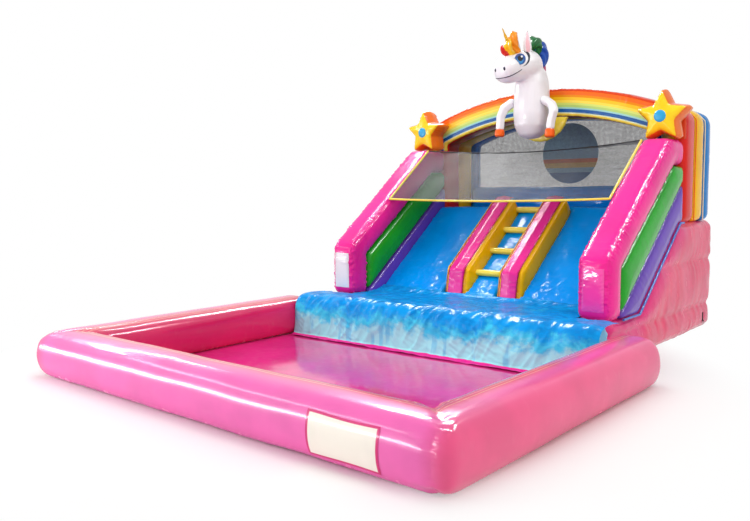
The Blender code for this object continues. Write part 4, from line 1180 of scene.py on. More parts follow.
def make_lanes():
    """Lanes, deck and parapet, with the wrinkles of a loose top sheet."""
    lane = finish_of("lane_pvc", LANE_BLUE, roughness=0.14, crinkle=0.0024, crinkle_size=0.12,
                     coat=0.10, gloss=0.06)
    for name in ("lane_left", "lane_right", "climb_lane", "deck"):
        made = chamber(name + "_sheet", [name], lane, "blue_pvc", 0.014, 8, swell=0.006,
                       swell_reach=0.2, gather=0.004, pinch=0.003, free=upwards, seed=11)
        wrinkle(made.data)
    chamber("parapet_chamber", ["rear_parapet"], lane, "blue_pvc", 0.018, 12, seed=13)


def make_dividers():
    """Each divider's amber core and its pink cap."""
    amber = finish_of("amber_pvc", CORE_AMBER, deep=0.98, gloss=0.15, coat=0.1)
    pink = finish_of("pink_pvc", HOT_PINK)
    for word, seed in (("left", 17), ("right", 19)):
        core, cap = "divider_core_" + word, "divider_cap_" + word
        chamber(core + "_chamber", [core], amber, "amber_pvc", 0.012, 16, swell=0.022,
                swell_reach=0.10, pinch=0.002, free=sideways, seed=seed)
        chamber(cap + "_chamber", [cap], pink, "pink_pvc", 0.009, 8, swell=0.016, swell_reach=0.08,
                gather=0.003, pitch=0.04, pinch=0.002, free=skywards, seed=seed + 1)


def make_walls():
    """Each side wall's pink cap with its front post, and its green and purple bands."""
    pink = finish_of("wall_cap_pvc", HOT_PINK, roughness=0.2, coat=0.22, gloss=0.15, pucker=0.008)
    green = finish_of("green_pvc", LEAF_GREEN, gloss=0.2, coat=0.15)
    purple = finish_of("purple_pvc", PURPLE, gloss=0.25, coat=0.15)
    for word, seed in (("left", 23), ("right", 29)):
        cap = "wall_cap_" + word
        chamber(cap + "_chamber", [cap], pink, "pink_pvc", 0.012, 18, swell=0.012, swell_reach=0.1,
                gather=0.006, pitch=0.045, reach=0.035, free=sideways, seed=seed)
        bands = (("wall_green_", green, "green_pvc"), ("wall_purple_", purple, "purple_pvc"))
        for number, (band, finish, slot) in enumerate(bands, 1):
            name = band + word
            chamber(name + "_chamber", [name], finish, slot, 0.015, 10, swell=0.016,
                    swell_reach=0.1, pinch=0.005, gather=0.0025, pitch=0.08, free=sideways,
                    seed=seed + number)


# Arch

# Each band of the rainbow begins at its share of the way across the ring
RAINBOW = (
    (0.0, "DC4416"),
    (0.10, "F4701E"),
    (0.24, "EE9208"),
    (0.32, "FBC81E"),
    (0.43, "FFE24A"),
    (0.52, "DCEC78"),
    (0.60, "BCE07C"),
    (0.68, "9EDCD6"),
    (0.74, "0858A4"),
    (0.87, "D8E8B0"),
    (0.91, "FFDE50"),
)

# How much deeper the thin front panels are made, and how much wider the lobe
PANEL_BACKING = 0.045
LOBE_MIDDLE = np.array([0.0, 2.15, 2.58])
LOBE_SCALE = (1.09, 1.0, 1.09)


def inner_distance(points):
    """How far points on the arch's front lie from the edge of its opening."""
    x, z = np.abs(points[:, 0]), points[:, 2]
    inner = ARCH_RADIUS - ARCH_RING
    corner_z = ARCH_CENTRE_Z + math.sqrt(inner**2 - WALL_INNER_X**2)
    radius = np.hypot(x, z - ARCH_CENTRE_Z)
    over_opening = x * inner / radius <= WALL_INNER_X
    beside = np.where(z < corner_z, x - WALL_INNER_X, np.hypot(x - WALL_INNER_X, z - corner_z))
    return np.where(over_opening, radius - inner, beside)


def rainbow_colours(finish):
    """Bands by their place across the ring, from its outer edge to its inner one."""
    return finish.node("ValToRGB", {"stripes": RAINBOW}, {0: finish.attribute("across")})


def thickened(node, depth):
    """A copy of a thin front panel's mesh, with its back pushed further in."""
    mesh = nodes[node].data.copy()
    points = points_of(mesh)
    points[points[:, 1] > points[:, 1].mean(), 1] += depth
    set_points(mesh, points)
    return mesh


def make_arch():
    """The arch's three chambers, side by side."""
    bands = (("red", SIGNAL_RED), ("amber", AMBER), ("blue", BAND_BLUE))
    for number, (word, colour) in enumerate(bands):
        name = "arch_" + word
        finish = finish_of(name + "_pvc", colour, gloss=0.15, coat=0.1)
        chamber(name + "_chamber", [name], finish, word + "_pvc", 0.020, 10, axis=1, swell=0.008,
                swell_reach=0.1, gather=0.002, pitch=0.12, pinch=0.003, free=across_arch,
                seed=37 + number)


def make_rainbow_front():
    """The panel of coloured bands on the arch's front."""
    front = even_skin("rainbow_front", [thickened("rainbow_panel", PANEL_BACKING)], 0.011)
    soften(front, 6)
    across = (1 - inner_distance(points_of(front)) / ARCH_RING).clip(0.01, 0.99)
    set_attribute(front, "across", across)
    puff(front, rim_points(front, 1), swell=0.008, gather=0.003, pitch=0.06, free=across_front,
         seed=41)
    rainbow = finish_of("rainbow_pvc", AMBER, base=rainbow_colours, deep=0.96, gloss=0.15, coat=0.1)
    piece("rainbow_front", front, rainbow, ["rainbow_panel"])


def make_backing_lobe():
    """The yellow lobe behind the unicorn."""
    lobe = even_skin("unicorn_backing_pad", [thickened("unicorn_backing", PANEL_BACKING)], 0.009)
    set_points(lobe, LOBE_MIDDLE + (points_of(lobe) - LOBE_MIDDLE) * LOBE_SCALE)
    soften(lobe, 6)
    puff(lobe, rim_points(lobe, 1), swell=0.008, gather=0.003, pitch=0.05, free=across_front,
         seed=43)
    yellow = finish_of("pale_yellow_pvc", PALE_YELLOW)
    piece("unicorn_backing_pad", lobe, yellow, ["unicorn_backing"])


# Nets

# The roof net runs just under the top of the walls' caps, from its foot to its crest
NET_PITCH = 0.006
NET_EDGE_X = 1.392
NET_REACH = 1.386
NET_BACK_Y = 2.20
REAR_NET_Y = 2.90
NET_DROP = 0.0118
CAP_ANGLE = math.atan(0.76)
UNDER_CAP = NET_DROP * np.array([0, -math.sin(CAP_ANGLE), math.cos(CAP_ANGLE)])
NET_FOOT = np.array([0.0, 0.95, 1.5596]) - UNDER_CAP
NET_CREST = np.array([0.0, 1.74, 2.16]) - UNDER_CAP

# How far its middle hangs at the foot, how much further at the crest, and both together
FOOT_SAG = 0.025
FURTHER_SAG = 0.045
CREST_SAG = 0.07


def ring_height(x):
    return ARCH_CENTRE_Z + np.sqrt((ARCH_RADIUS - ARCH_RING) ** 2 - x * x)


def net_finish(name):
    """Fine knitted mesh: black strands with the gaps let through, closer over the lanes."""
    finish = Finish(name, Roughness=0.65, Specular_IOR_Level=0.3)
    place = finish.place()
    aside, back, up = (finish.axis(number) for number in range(3))
    rows = []
    for value in (aside, up + back):
        turn = value * (math.pi / NET_PITCH)
        rows.append(abs(finish.node("Math", {"operation": "SINE"}, {0: turn})))
    gap = finish.step(rows[0], 0.25, 0.75) * finish.step(rows[1], 0.25, 0.75)
    cloud = finish.noise(place, 5.0, 3.0)
    fleck = finish.noise(place, 38.0, 3.0, 0.7)
    drawn = finish.noise(finish.stretched(place, (1.0, 7.0, 7.0)), 2.6, 3.0, 0.6, RIDGED)
    roof = 1 - finish.step(back, 1.75, 1.95)
    solid = 0.72 - gap * 0.44 + roof * 0.08 + (fleck - 0.5) * 0.5 + (drawn - 0.5) * 0.16
    colour = finish.mix(finish.step(cloud, 0.4, 0.7), tint(NET_DARK), tint(NET_LIGHT))
    return finish.feed(Base_Color=colour, Alpha=solid, Normal=finish.bump(gap, 0.0004, 0.6))


def make_safety_net(black):
    """The net over the lanes, the ledge behind its crest and the part up to the arch, in one."""
    columns, roof_rows, ledge_rows, arch_rows = 141, 60, 26, 16
    shares = np.linspace(-1, 1, columns)
    sag = 1 - shares**2
    x = shares * NET_REACH
    grid = []
    for rise in np.arange(roof_rows) / (roof_rows - 1):
        middle = NET_FOOT + (NET_CREST - NET_FOOT) * rise
        depth = (FOOT_SAG + FURTHER_SAG * rise) * sag
        grid.append(np.stack([x, np.full(columns, middle[1]), middle[2] - depth], axis=1))
    for rise in np.arange(1, ledge_rows) / (ledge_rows - 1):
        y = NET_CREST[1] + (NET_BACK_Y - NET_CREST[1]) * rise
        depth = CREST_SAG * (1 - rise / 2) * sag
        grid.append(np.stack([x, np.full(columns, y), NET_CREST[2] - depth], axis=1))
    for rise in np.arange(1, arch_rows) / (arch_rows - 1):
        foot_z = NET_CREST[2] - CREST_SAG / 2 * sag
        z = foot_z + (ring_height(x.clip(-WALL_INNER_X, WALL_INNER_X)) - foot_z) * rise
        grid.append(np.stack([x, np.full(columns, NET_BACK_Y), z], axis=1))
    points = np.concatenate(grid)
    edge = (1 - np.abs(points[:, 0]) / NET_REACH).clip(0, 0.15) / 0.15
    points[:, 2] += edge * 0.004 * ripple(points * (1, 0.4, 1), 0.28, 51)
    mesh = mesh_from("safety_net", points, grid_faces(len(grid), columns))
    net = piece("safety_net", mesh, black, ["roof_net", "ledge_net", "arch_net"])


def make_rear_net(black):
    low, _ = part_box("rear_net")
    columns, rows = 111, 31
    xs = np.linspace(-WALL_INNER_X, WALL_INNER_X, columns)
    grid = []
    for row in range(rows):
        z = low.z + (ring_height(xs) - low.z) * row / (rows - 1)
        grid.append(np.stack([xs, np.full(columns, REAR_NET_Y), z], axis=1))
    points = np.concatenate(grid)
    points[:, 1] += 0.003 * ripple(points, 0.35, 53)
    mesh = mesh_from("rear_net_sheet", points, grid_faces(rows, columns))
    net = piece("rear_net_sheet", mesh, black, ["rear_net"])


def make_nets():
    black = net_finish("net_mesh")
    make_safety_net(black)
    make_rear_net(black)


# Stars

# The left star is turned a little about the upright line through its middle
LEFT_STAR_MIDDLE = np.array([-POST_X, 1.99, 0.0])
LEFT_STAR_TURN = math.radians(-6)

# Height of both stars' middles
STAR_MIDDLE_Z = 2.399


def turned_about(points, middle, angle):
    """Points turned about an upright axis."""
    cosine, sine = math.cos(angle), math.sin(angle)
    turn = np.array([[cosine, -sine, 0], [sine, cosine, 0], [0, 0, 1]])
    return (points - middle) @ turn.T + middle


def star_colours(finish):
    """Yellow on the front, orange round the side."""
    face = finish.step(finish.attribute("face"), 0.45, 0.55)
    return finish.mix(face, tint(STAR_SIDE), tint(STAR_FACE))


def make_stars():
    """The stuffed stars on the walls' caps."""
    for word, seed in (("left", 61), ("right", 67)):
        name = "star_" + word
        mesh = node_skin(name + "_pad", name, 0.010, 7)
        if word == "left":
            set_points(mesh, turned_about(points_of(mesh), LEFT_STAR_MIDDLE, LEFT_STAR_TURN))
        set_attribute(mesh, "face", np.clip(-normals_of(mesh)[:, 1], 0, 1))
        puff(mesh, rim_points(mesh, 1), swell=0.02, swell_reach=0.09, pinch=0.004, gather=0.004,
             pitch=0.05, reach=0.05, seed=seed)
        material = finish_of("star_pvc", AMBER, base=star_colours)
        star = piece(name + "_pad", mesh, material, [name])


# Unicorn

# The head's middle, its three ways, and its profile as shares of its length and its radius
HEAD_MIDDLE = Vector((-0.045, 1.80, 3.079))
HEAD_LOOK = Vector((-0.18, -0.955, -0.20)).normalized()
HEAD_SIDE = HEAD_LOOK.cross(UP).normalized()
HEAD_CROWN = HEAD_SIDE.cross(HEAD_LOOK)
HEAD_RADIUS = 0.19
SNOUT_LENGTH = 0.425
HEAD_PROFILE = (
    (1.0, 0.0),
    (0.985, 0.40),
    (0.91, 0.66),
    (0.75, 0.79),
    (0.55, 0.82),
    (0.30, 0.85),
    (0.08, 0.95),
    (-0.12, 1.0),
    (-0.33, 0.9),
    (-0.47, 0.58),
    (-0.52, 0.0),
)

# Heights on the body below which it sags, at the right elbow, and below which that arm hangs lower
BODY_SAG_Z = 2.48
ELBOW_Z = 2.55
FOREARM_Z = 2.50

# Eyes: their place and size, and the discs from the white inwards as middle, radius and colour
EYE_AHEAD = 0.16
EYE_ANGLE = math.radians(48)
EYE_RADIUS = 0.108
EYE_DISCS = (
    ((-0.16, -0.14), 0.58, IRIS_DEEP),
    ((-0.20, -0.26), 0.36, IRIS_BRIGHT),
    ((-0.13, -0.06), 0.30, PUPIL),
    ((0.04, 0.10), 0.11, SNOW),
)

# Nostrils and mouth: places ahead on the head, and sizes
NOSTRIL_AHEAD = 0.27
NOSTRIL_HALF_WIDTH = 0.016
NOSTRIL_HALF_HEIGHT = 0.024
SMILE_AHEAD = 0.25
SMILE_RADIUS = 0.0055

EAR_RADII = (0.034, 0.046, 0.044, 0.030, 0.004)
HORN_LENGTH = 0.37
HORN_TIP = 0.004
HORN_FLARE = 0.038

# Each lock: its finish, colour, slot and node, its line up and ahead on the head, and its radii
LOCKS = {
    "unicorn_forelock_red": (
        "red_pvc_soft", SIGNAL_RED, "red_pvc", (),
        ((0.15, 0.23), (0.175, 0.275), (0.20, 0.315), (0.245, 0.335), (0.275, 0.325)),
        (0.02, 0.027, 0.026, 0.021, 0.006),
    ),
    "unicorn_forelock_yellow": (
        "yellow_pvc_soft", AMBER, "amber_pvc", (),
        ((0.15, 0.20), (0.20, 0.235), (0.255, 0.235), (0.295, 0.205), (0.32, 0.165)),
        (0.035, 0.045, 0.044, 0.038, 0.016),
    ),
    "unicorn_forelock_orange": (
        "forelock_orange_soft", LOCK_ORANGE, "orange_pvc", ("unicorn_forelock",),
        ((0.17, 0.08), (0.25, 0.12), (0.32, 0.135), (0.365, 0.105), (0.355, 0.06)),
        (0.04, 0.050, 0.056, 0.050, 0.018),
    ),
    "unicorn_mane_green": (
        "green_pvc_soft", LOCK_GREEN, "green_pvc", ("unicorn_mane",),
        ((0.17, -0.10), (0.235, -0.15), (0.250, -0.23), (0.20, -0.29), (0.09, -0.28)),
        (0.03, 0.060, 0.076, 0.070, 0.02),
    ),
    "unicorn_mane_blue": (
        "blue_pvc_soft", LOCK_BLUE, "blue_pvc", (),
        ((0.20, -0.22), (0.20, -0.32), (0.11, -0.370), (0.01, -0.34), (-0.06, -0.27)),
        (0.03, 0.070, 0.074, 0.056, 0.015),
    ),
    "unicorn_mane_wisp": (
        "wisp_pvc_soft", LOCK_ROSE, "blue_pvc", (),
        ((0.00, -0.33), (-0.04, -0.365), (-0.10, -0.36), (-0.17, -0.31)),
        (0.014, 0.026, 0.024, 0.010),
    ),
}


def on_head(up, ahead, aside=0.0):
    """A point from its places along the head's crown, its look and its side."""
    return HEAD_MIDDLE + HEAD_CROWN * up + HEAD_LOOK * ahead + HEAD_SIDE * aside


def disc_share(finish, middle, radius):
    """1 inside a circle on a patch, 0 outside."""
    across = (finish.attribute("patch_across") - middle[0]) ** 2.0
    up = (finish.attribute("patch_up") - middle[1]) ** 2.0
    return 1.0 - finish.step((across + up) ** 0.5, radius - 0.025, radius + 0.025)


def eye_colours(finish):
    """Black lash crescent, white of the eye, blue iris, dark pupil and a small bright spot."""
    lash = 1.0 - disc_share(finish, (-0.16, -0.10), 0.83)
    body = finish.mix(lash, tint(SNOW), tint(INK))
    for middle, radius, colour in EYE_DISCS:
        body = finish.mix(disc_share(finish, middle, radius), body, tint(colour))
    return body


def head_skin():
    """The head, turned about its look from a profile of shares, and sewn to the body."""
    corners = [HEAD_MIDDLE + HEAD_LOOK * (ahead * SNOUT_LENGTH) for ahead, _ in HEAD_PROFILE]
    radii = [wide * HEAD_RADIUS for _, wide in HEAD_PROFILE]
    head = swept("head", [tuple(corner) for corner in corners], radii, 60, 40)
    body = bpy.data.meshes.new_from_object(nodes["unicorn_body"])
    skin = even_skin("unicorn_skin", [head, body], 0.008)
    soften(skin, 14)
    points = points_of(skin)
    points[:, 2] -= 0.22 * (BODY_SAG_Z - points[:, 2]).clip(0, 0.2)
    set_points(skin, points)
    return skin


def make_eyes_and_nostrils(surface, dark):
    """Printed patches that follow the head's skin."""
    eye_finish = Finish("eye_print", Roughness=0.45, Specular_IOR_Level=0.12)
    eye_finish.feed(Base_Color=eye_colours(eye_finish))
    for word, side in (("left", -1), ("right", 1)):
        way = HEAD_CROWN * math.cos(EYE_ANGLE) - HEAD_SIDE * (side * math.sin(EYE_ANGLE))
        place, _ = outside(surface, on_head(0, EYE_AHEAD), way)
        facing = (HEAD_LOOK * 0.77 - HEAD_SIDE * (side * 0.64)).normalized()
        name = "unicorn_eye_" + word
        mesh = patch(name, surface, place, facing, HEAD_CROWN, EYE_RADIUS * side, EYE_RADIUS)
        if side < 0:
            outward(mesh)
        piece(name, mesh, eye_finish.material, ())

        way = HEAD_LOOK * 1.0 + HEAD_CROWN * 0.10 - HEAD_SIDE * (side * 0.45)
        place, normal = outside(surface, on_head(0, NOSTRIL_AHEAD), way)
        name = "unicorn_nostril_" + word
        mesh = patch(name, surface, place, normal, HEAD_CROWN, NOSTRIL_HALF_WIDTH,
                     NOSTRIL_HALF_HEIGHT, rings=5, spokes=16)
        piece(name, mesh, dark, ())


def make_smile(surface, dark):
    """The mouth line, wrapped round the snout and rising towards both cheeks."""
    middle = on_head(0.0, SMILE_AHEAD)
    smile = []
    for degrees in range(-100, 101, 5):
        turn = math.radians(degrees)
        sink = -0.50 + 0.34 * (abs(degrees) / 100) ** 2
        way = HEAD_LOOK * math.cos(turn) + HEAD_SIDE * math.sin(turn) + HEAD_CROWN * sink
        smile.append(outside(surface, middle, way)[0])
    line = line_mesh([smile])
    mouth = piping_tree().grow(line, Radius=SMILE_RADIUS, Sides=8, Finish=dark)
    piece("unicorn_smile", mouth, dark, ())


def ear_colours(finish):
    """White, with a pink inside."""
    inside = finish.step(finish.attribute("inner_ear"), 0.80, 0.88)
    return finish.mix(inside, tint(SNOW), tint(EAR_PINK))


def make_ears():
    """Stuffed ears, hollowed on the side that faces forward."""
    for word, side in (("left", 1), ("right", -1)):
        name = "unicorn_ear_" + word
        foot = on_head(0.70 * HEAD_RADIUS, -0.015, side * 0.075)
        middle = on_head(0.86 * HEAD_RADIUS + 0.09, -0.012, side * 0.085)
        tip = on_head(0.86 * HEAD_RADIUS + 0.225, -0.03, side * 0.09)
        corners = [foot, (foot + middle) / 2, middle, (middle + tip) / 2, tip]
        mesh = swept(name + "_pad", corners, EAR_RADII, 40, 32)
        facing = (HEAD_LOOK * 0.8 + HEAD_SIDE * side * 0.9).normalized()
        share = (normals_of(mesh) @ np.array(facing)).clip(0, 1)
        points = points_of(mesh) - np.outer(0.022 * np.clip(share - 0.5, 0, 1) * 2, facing)
        set_points(mesh, points)
        set_attribute(mesh, "inner_ear", share)
        finish = finish_of("ear_pvc", SNOW, roughness=0.35, base=ear_colours, coat=0.2)
        piece(name + "_pad", mesh, finish, [name])


def make_hair():
    """The twisted locks of the forelock and the mane."""
    for name, (finish_name, colour, slot, stands_for, path, radii) in LOCKS.items():
        corners = [tuple(on_head(up, ahead)) for up, ahead in path]
        mesh = swept(name, corners, radii, 48, 36, lobes=5, lobe_depth=0.10, twist=3.0)
        piece(name, mesh, fluff(finish_name, colour), stands_for)


def make_horn():
    """The twisted horn, leaning forward from the crown."""
    foot = on_head(0.60 * HEAD_RADIUS, 0.155)
    tip = foot + (HEAD_CROWN + HEAD_LOOK * 0.38).normalized() * HORN_LENGTH
    shares = np.linspace(0, 1, 9)
    corners = [tuple(foot.lerp(tip, share)) for share in shares]
    radii = HORN_FLARE * (1 - shares) + HORN_TIP
    mesh = swept("unicorn_horn_cone", corners, radii, 90, 32, lobes=2, lobe_depth=0.14, twist=16.0)
    gold = fluff("gold_pvc_soft", GOLD)
    horn = piece("unicorn_horn_cone", mesh, gold, ["unicorn_horn"])


def make_arms(white):
    """Arms and hooves; the ones on the right hang a little lower, with the elbow out."""
    for word in SIDES:
        for part, finish in (("arm", white), ("hoof", fluff("orange_pvc_soft", ORANGE))):
            name = "unicorn_%s_%s" % (part, word)
            mesh = node_skin(name + "_pad", name, 0.006, 8)
            points = points_of(mesh)
            if points[:, 0].mean() > 0:
                elbow = np.exp(-(((points[:, 2] - ELBOW_Z) / 0.09) ** 2))
                points[:, 0] += 0.035 * elbow
                points[:, 2] -= 0.20 * (FOREARM_Z - points[:, 2]).clip(0, 0.2)
                set_points(mesh, points)
            slot = "white_pvc" if part == "arm" else "orange_pvc"
            piece(name + "_pad", mesh, finish, [name])


def make_unicorn():
    """The stuffed unicorn on the arch, head first, then what is sewn to it."""
    white = fluff("white_pvc_soft", SNOW)
    skin = head_skin()
    keel = along([(0, 1.70, 2.30), (0, 1.70, 2.85)])
    puff(skin, keel, pinch=0.0, gather=0.0, wobble=0.0025, seed=71)
    surface = surface_of(skin)
    pad = piece("unicorn_skin", skin, white, ["unicorn_body", "unicorn_head"])
    dark = finish_of("dark_print", INK, roughness=0.4, coat=0.1)
    make_eyes_and_nostrils(surface, dark)
    make_smile(surface, dark)
    make_ears()
    make_hair()
    make_horn()
    make_arms(white)


# Rungs, binding and piping

# A rung's places along its half length, and its share of the full radius at each
RUNGS = 4
RUNG_PROFILE = (
    (-1, 0.55),
    (-0.97, 0.84),
    (-0.9, 0.97),
    (0, 1.0),
    (0.9, 0.97),
    (0.97, 0.84),
    (1, 0.55),
)

# The net's binding: its radius, its reach, how far it lies before the net, and its seam from there
BINDING_RADIUS = 0.0125
BINDING_REACH = 1.37
BINDING_AHEAD = 0.008
BINDING_SEAM = (0, -0.007, 0.0108)

# The foot of the walls' bands, from the post back to the arch
BAND_FOOT = (
    (POST_REAR_Y, BAND_FOOT_Z),
    (BAND_CORNER_Y, BAND_FOOT_Z),
    (2.04, BAND_CREST_Z),
    (ARCH_FRONT_Y, BAND_CREST_Z),
)

# Edges of a divider's cap: across, up its front, and how far above the lane its top lies
CAP_EDGES_X = (0.235, 0.445)
DIVIDER_NOSE = ((0.792, 0.45), (0.800, 0.56), (0.815, 0.66), (0.845, 0.727))
CAP_EDGE_RISE = 0.174

# The arch's outer edge below its round part, across and up, and the seams between its chambers
ARCH_POST = ((1.717, 1.28), (1.717, 1.8), (1.717, 2.33), (1.69, 2.42))
ORANGE_SEAM_Y = 2.49
PALE_SEAM_Y = 2.80

# Each piping has its finish, colour, radius and slot
PIPING = {
    "base_piping": ("piping_blue", PIPING_BLUE, 0.012, "blue_pvc"),
    "red_piping": ("piping_red", PIPING_RED, 0.005, "red_pvc"),
    "pale_piping": ("piping_pale", PIPING_PALE, 0.006, "pale_yellow_pvc"),
    "orange_piping": ("piping_orange", PIPING_ORANGE, 0.006, "orange_pvc"),
}


def make_rungs():
    """Four padded rungs across the climbing lane, repeated up the slope."""
    low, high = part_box("rung_1")
    after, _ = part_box("rung_2")
    middle = (low + high) / 2
    step = after - low
    half = (high.x - low.x) / 2
    radius = (high.z - low.z) / 2
    corners = [(middle.x + half * share, middle.y, middle.z) for share, _ in RUNG_PROFILE]
    radii = [radius * share for _, share in RUNG_PROFILE]
    bar = swept("rung_bar", corners, radii, 64, 32)
    rim = points_of(bar)
    ends = rim[np.abs(rim[:, 0]) > half * 0.96]
    puff(bar, ends, pinch=0.0, gather=0.003, pitch=0.03, reach=0.03, wobble=0.001, seed=91)
    growth = Growth("climbing_rungs", Count="Int", Step="Vector", Finish="Material")
    sockets = {"Count": growth.size("Count"), "Offset": growth.size("Step")}
    places = growth.node("GeometryNodeMeshLine", {"mode": "OFFSET"}, sockets)[0]
    sockets = {"Points": places, "Instance": growth.given.outputs[0]}
    growth.finished(growth.node("GeometryNodeInstanceOnPoints", None, sockets)[0])
    yellow = finish_of("pale_yellow_pvc", PALE_YELLOW)
    mesh = growth.grow(bar, Count=RUNGS, Step=tuple(step), Finish=yellow)
    names = ["rung_%d" % number for number in range(1, RUNGS + 1)]
    piece("climbing_rungs", mesh, yellow, names)


def make_binding():
    """The pale binding that the net is sewn into: along its foot and up both walls."""
    yellow = finish_of("pale_yellow_pvc", PALE_YELLOW)
    slope = NET_CREST - NET_FOOT
    foot = NET_FOOT - BINDING_AHEAD * slope / np.linalg.norm(slope)
    xs = np.linspace(-BINDING_REACH, BINDING_REACH, 25)
    sag = [(x, foot[1], foot[2] - FOOT_SAG * (1 - (x / NET_EDGE_X) ** 2)) for x in xs]
    left = [(-NET_EDGE_X, *NET_CREST[1:]), (-NET_EDGE_X, *foot[1:])]
    right = [(NET_EDGE_X, *foot[1:]), (NET_EDGE_X, *NET_CREST[1:])]
    line = along([*left, *sag, *right], 0.03)
    mesh = swept("net_binding_tape", line, [BINDING_RADIUS] * len(line), 420, 14)
    piece("net_binding_tape", mesh, yellow, ["net_binding"])
    thread = finish_of("thread_white", SNOW, roughness=0.6, coat=0.0)
    seam = resampled(line + BINDING_SEAM, 700)[0]
    sewn = line_mesh([seam])
    mesh = stitch_tree().grow(sewn, Pitch=0.009, Length=0.006, Thread=0.0007, Finish=thread)
    piece("net_binding_stitches", mesh, thread, ())


def divider_edge(x):
    """The line of a divider's cap edge: up its front, round the fold and along its top."""
    rise = CAP_EDGE_RISE / math.cos(WALL_SLOPE)
    top = [(y, lane_height(y) + rise) for y in (0.90, 1.2, 1.5, 1.86)]
    return smooth_line([(x, y, z) for y, z in (*DIVIDER_NOSE, *top)], 90)


def arch_edge(side, y):
    """A line between two of the arch's chambers, up one side and over to the middle."""
    post = [(side * x, y, z) for x, z in ARCH_POST]
    top = [
        (side * x, y, ARCH_CENTRE_Z + math.sqrt(ARCH_RADIUS**2 - x**2) - 0.004)
        for x in np.linspace(1.60, 0.0, 17)
    ]
    return smooth_line([*post, *top], 160)


def make_piping():
    """Welded piping between the chambers, along lines of the frame's own outlines."""
    pipes = piping_tree()
    lines = {name: [] for name in PIPING}
    for side in (-1, 1):
        lines["base_piping"].append(loop_line(side * (BASE_SIDE_X + 0.004), BAND_FOOT))
        for cap_x in CAP_EDGES_X:
            lines["red_piping"].append(divider_edge(side * cap_x))
        lines["orange_piping"].append(arch_edge(side, ORANGE_SEAM_Y))
        lines["pale_piping"].append(arch_edge(side, PALE_SEAM_Y))
    for name, (finish_name, colour, radius, slot) in PIPING.items():
        finish = finish_of(finish_name, colour)
        mesh = pipes.grow(line_mesh(lines[name]), Radius=radius, Sides=12, Finish=finish)
        piece(name, mesh, finish, ())


def make_crest_tape():
    """The sewn fold between the roof net and the ledge net, sagging with them."""
    black = finish_of("webbing", MESH_BLACK, roughness=0.6, coat=0.0)
    shares = np.linspace(-0.995, 0.995, 41)
    y, z = NET_CREST[1:]
    line = [(share * NET_REACH, y, z - CREST_SAG * (1 - share**2)) for share in shares]
    mesh = piping_tree().grow(line_mesh([line]), Radius=0.006, Sides=12, Finish=black)
    piece("net_crest_tape", mesh, black, ())


# Patches and fittings

# Each band of the rear disc begins at its share of the way up
DISC_BANDS = (
    (0.0, "2E6FA8"),
    (0.18, "8FC3D8"),
    (0.26, "E8C15A"),
    (0.34, "E2793A"),
    (0.41, "8FC3D8"),
)

# The notice panel's lower edge, height and inset from its node's left edge
NOTICE_FOOT_Z = 0.055
NOTICE_HEIGHT = 0.275
NOTICE_INSET = 0.02

# A post's patch, and how far every patch stands off its skin
POCKET_MIDDLE_Z = 0.725
POCKET_HALF_WIDTH = 0.105
POCKET_HALF_HEIGHT = 0.20
PATCH_LIFT = 0.003

STAR_DISC_RADIUS = 0.065
STAR_DISC_DOME = 0.010
SLEEVE_MIDDLE = (0.95, 0, 0.56)


def panel_colours(finish):
    """Cream, with a pink border."""
    border = 1.0 - finish.step(finish.attribute("rim"), 1.7, 2.3)
    return finish.mix(border, tint(CREAM), tint(PANEL_BORDER))


def make_notice_panel(pool):
    """A bare patch on the pool's front, with ripples where it is welded on."""
    surface = surface_of(pool.data)
    columns, rows = 61, 41
    low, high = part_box("notice_panel")
    width = high.x - low.x - NOTICE_INSET
    points, edge = [], []
    for row in range(rows):
        for column in range(columns):
            x = low.x + NOTICE_INSET + width * column / (columns - 1)
            z = NOTICE_FOOT_Z + NOTICE_HEIGHT * row / (rows - 1)
            z += 0.004 * math.sin(9 * x) * math.sin(14 * z)
            found, normal, _, _ = surface.ray_cast(Vector((x, -4.0, z)), FROM_THE_FRONT, 3.0)
            points.append(tuple(found + normal * PATCH_LIFT))
            edge.append(min(row, rows - 1 - row, column, columns - 1 - column))
    mesh = mesh_from("notice_panel_patch", points, grid_faces(rows, columns))
    set_attribute(mesh, "rim", edge)
    finish = finish_of("panel_pvc", CREAM, roughness=0.30, base=panel_colours, coat=0.3)
    piece("notice_panel_patch", mesh, finish, ["notice_panel"])


def make_post_pocket(word, x, finish, stands_for):
    """A bare patch on a front post, puffed up and rucked along its edge."""
    post = surface_of(bpy.data.objects["wall_cap_%s_chamber" % word].data)
    columns, rows = 25, 41
    points = []
    for row in range(rows):
        for column in range(columns):
            u, v = 2 * column / (columns - 1) - 1, 2 * row / (rows - 1) - 1
            across, up = x + POCKET_HALF_WIDTH * u, POCKET_MIDDLE_Z + POCKET_HALF_HEIGHT * v
            spot = Vector((across, -0.5, up))
            found, normal, _, _ = post.ray_cast(spot, FROM_THE_FRONT, 3.0)
            bulge = 0.010 * (1 - u**4) * (1 - v**4)
            ruck = 0.002 * math.sin(37 * v + 3 * math.sin(5 * u)) * max(abs(u), abs(v)) ** 4
            points.append(tuple(found + normal * (PATCH_LIFT + bulge + ruck)))
    mesh = mesh_from("post_pocket_" + word, points, grid_faces(rows, columns))
    piece("post_pocket_" + word, mesh, finish, stands_for)


def disc_colours(finish):
    """Plain bands: sky above, three stripes, deeper blue below."""
    up = (finish.attribute("patch_up") + 1.0) * 0.5
    return finish.node("ValToRGB", {"stripes": DISC_BANDS}, {0: up})


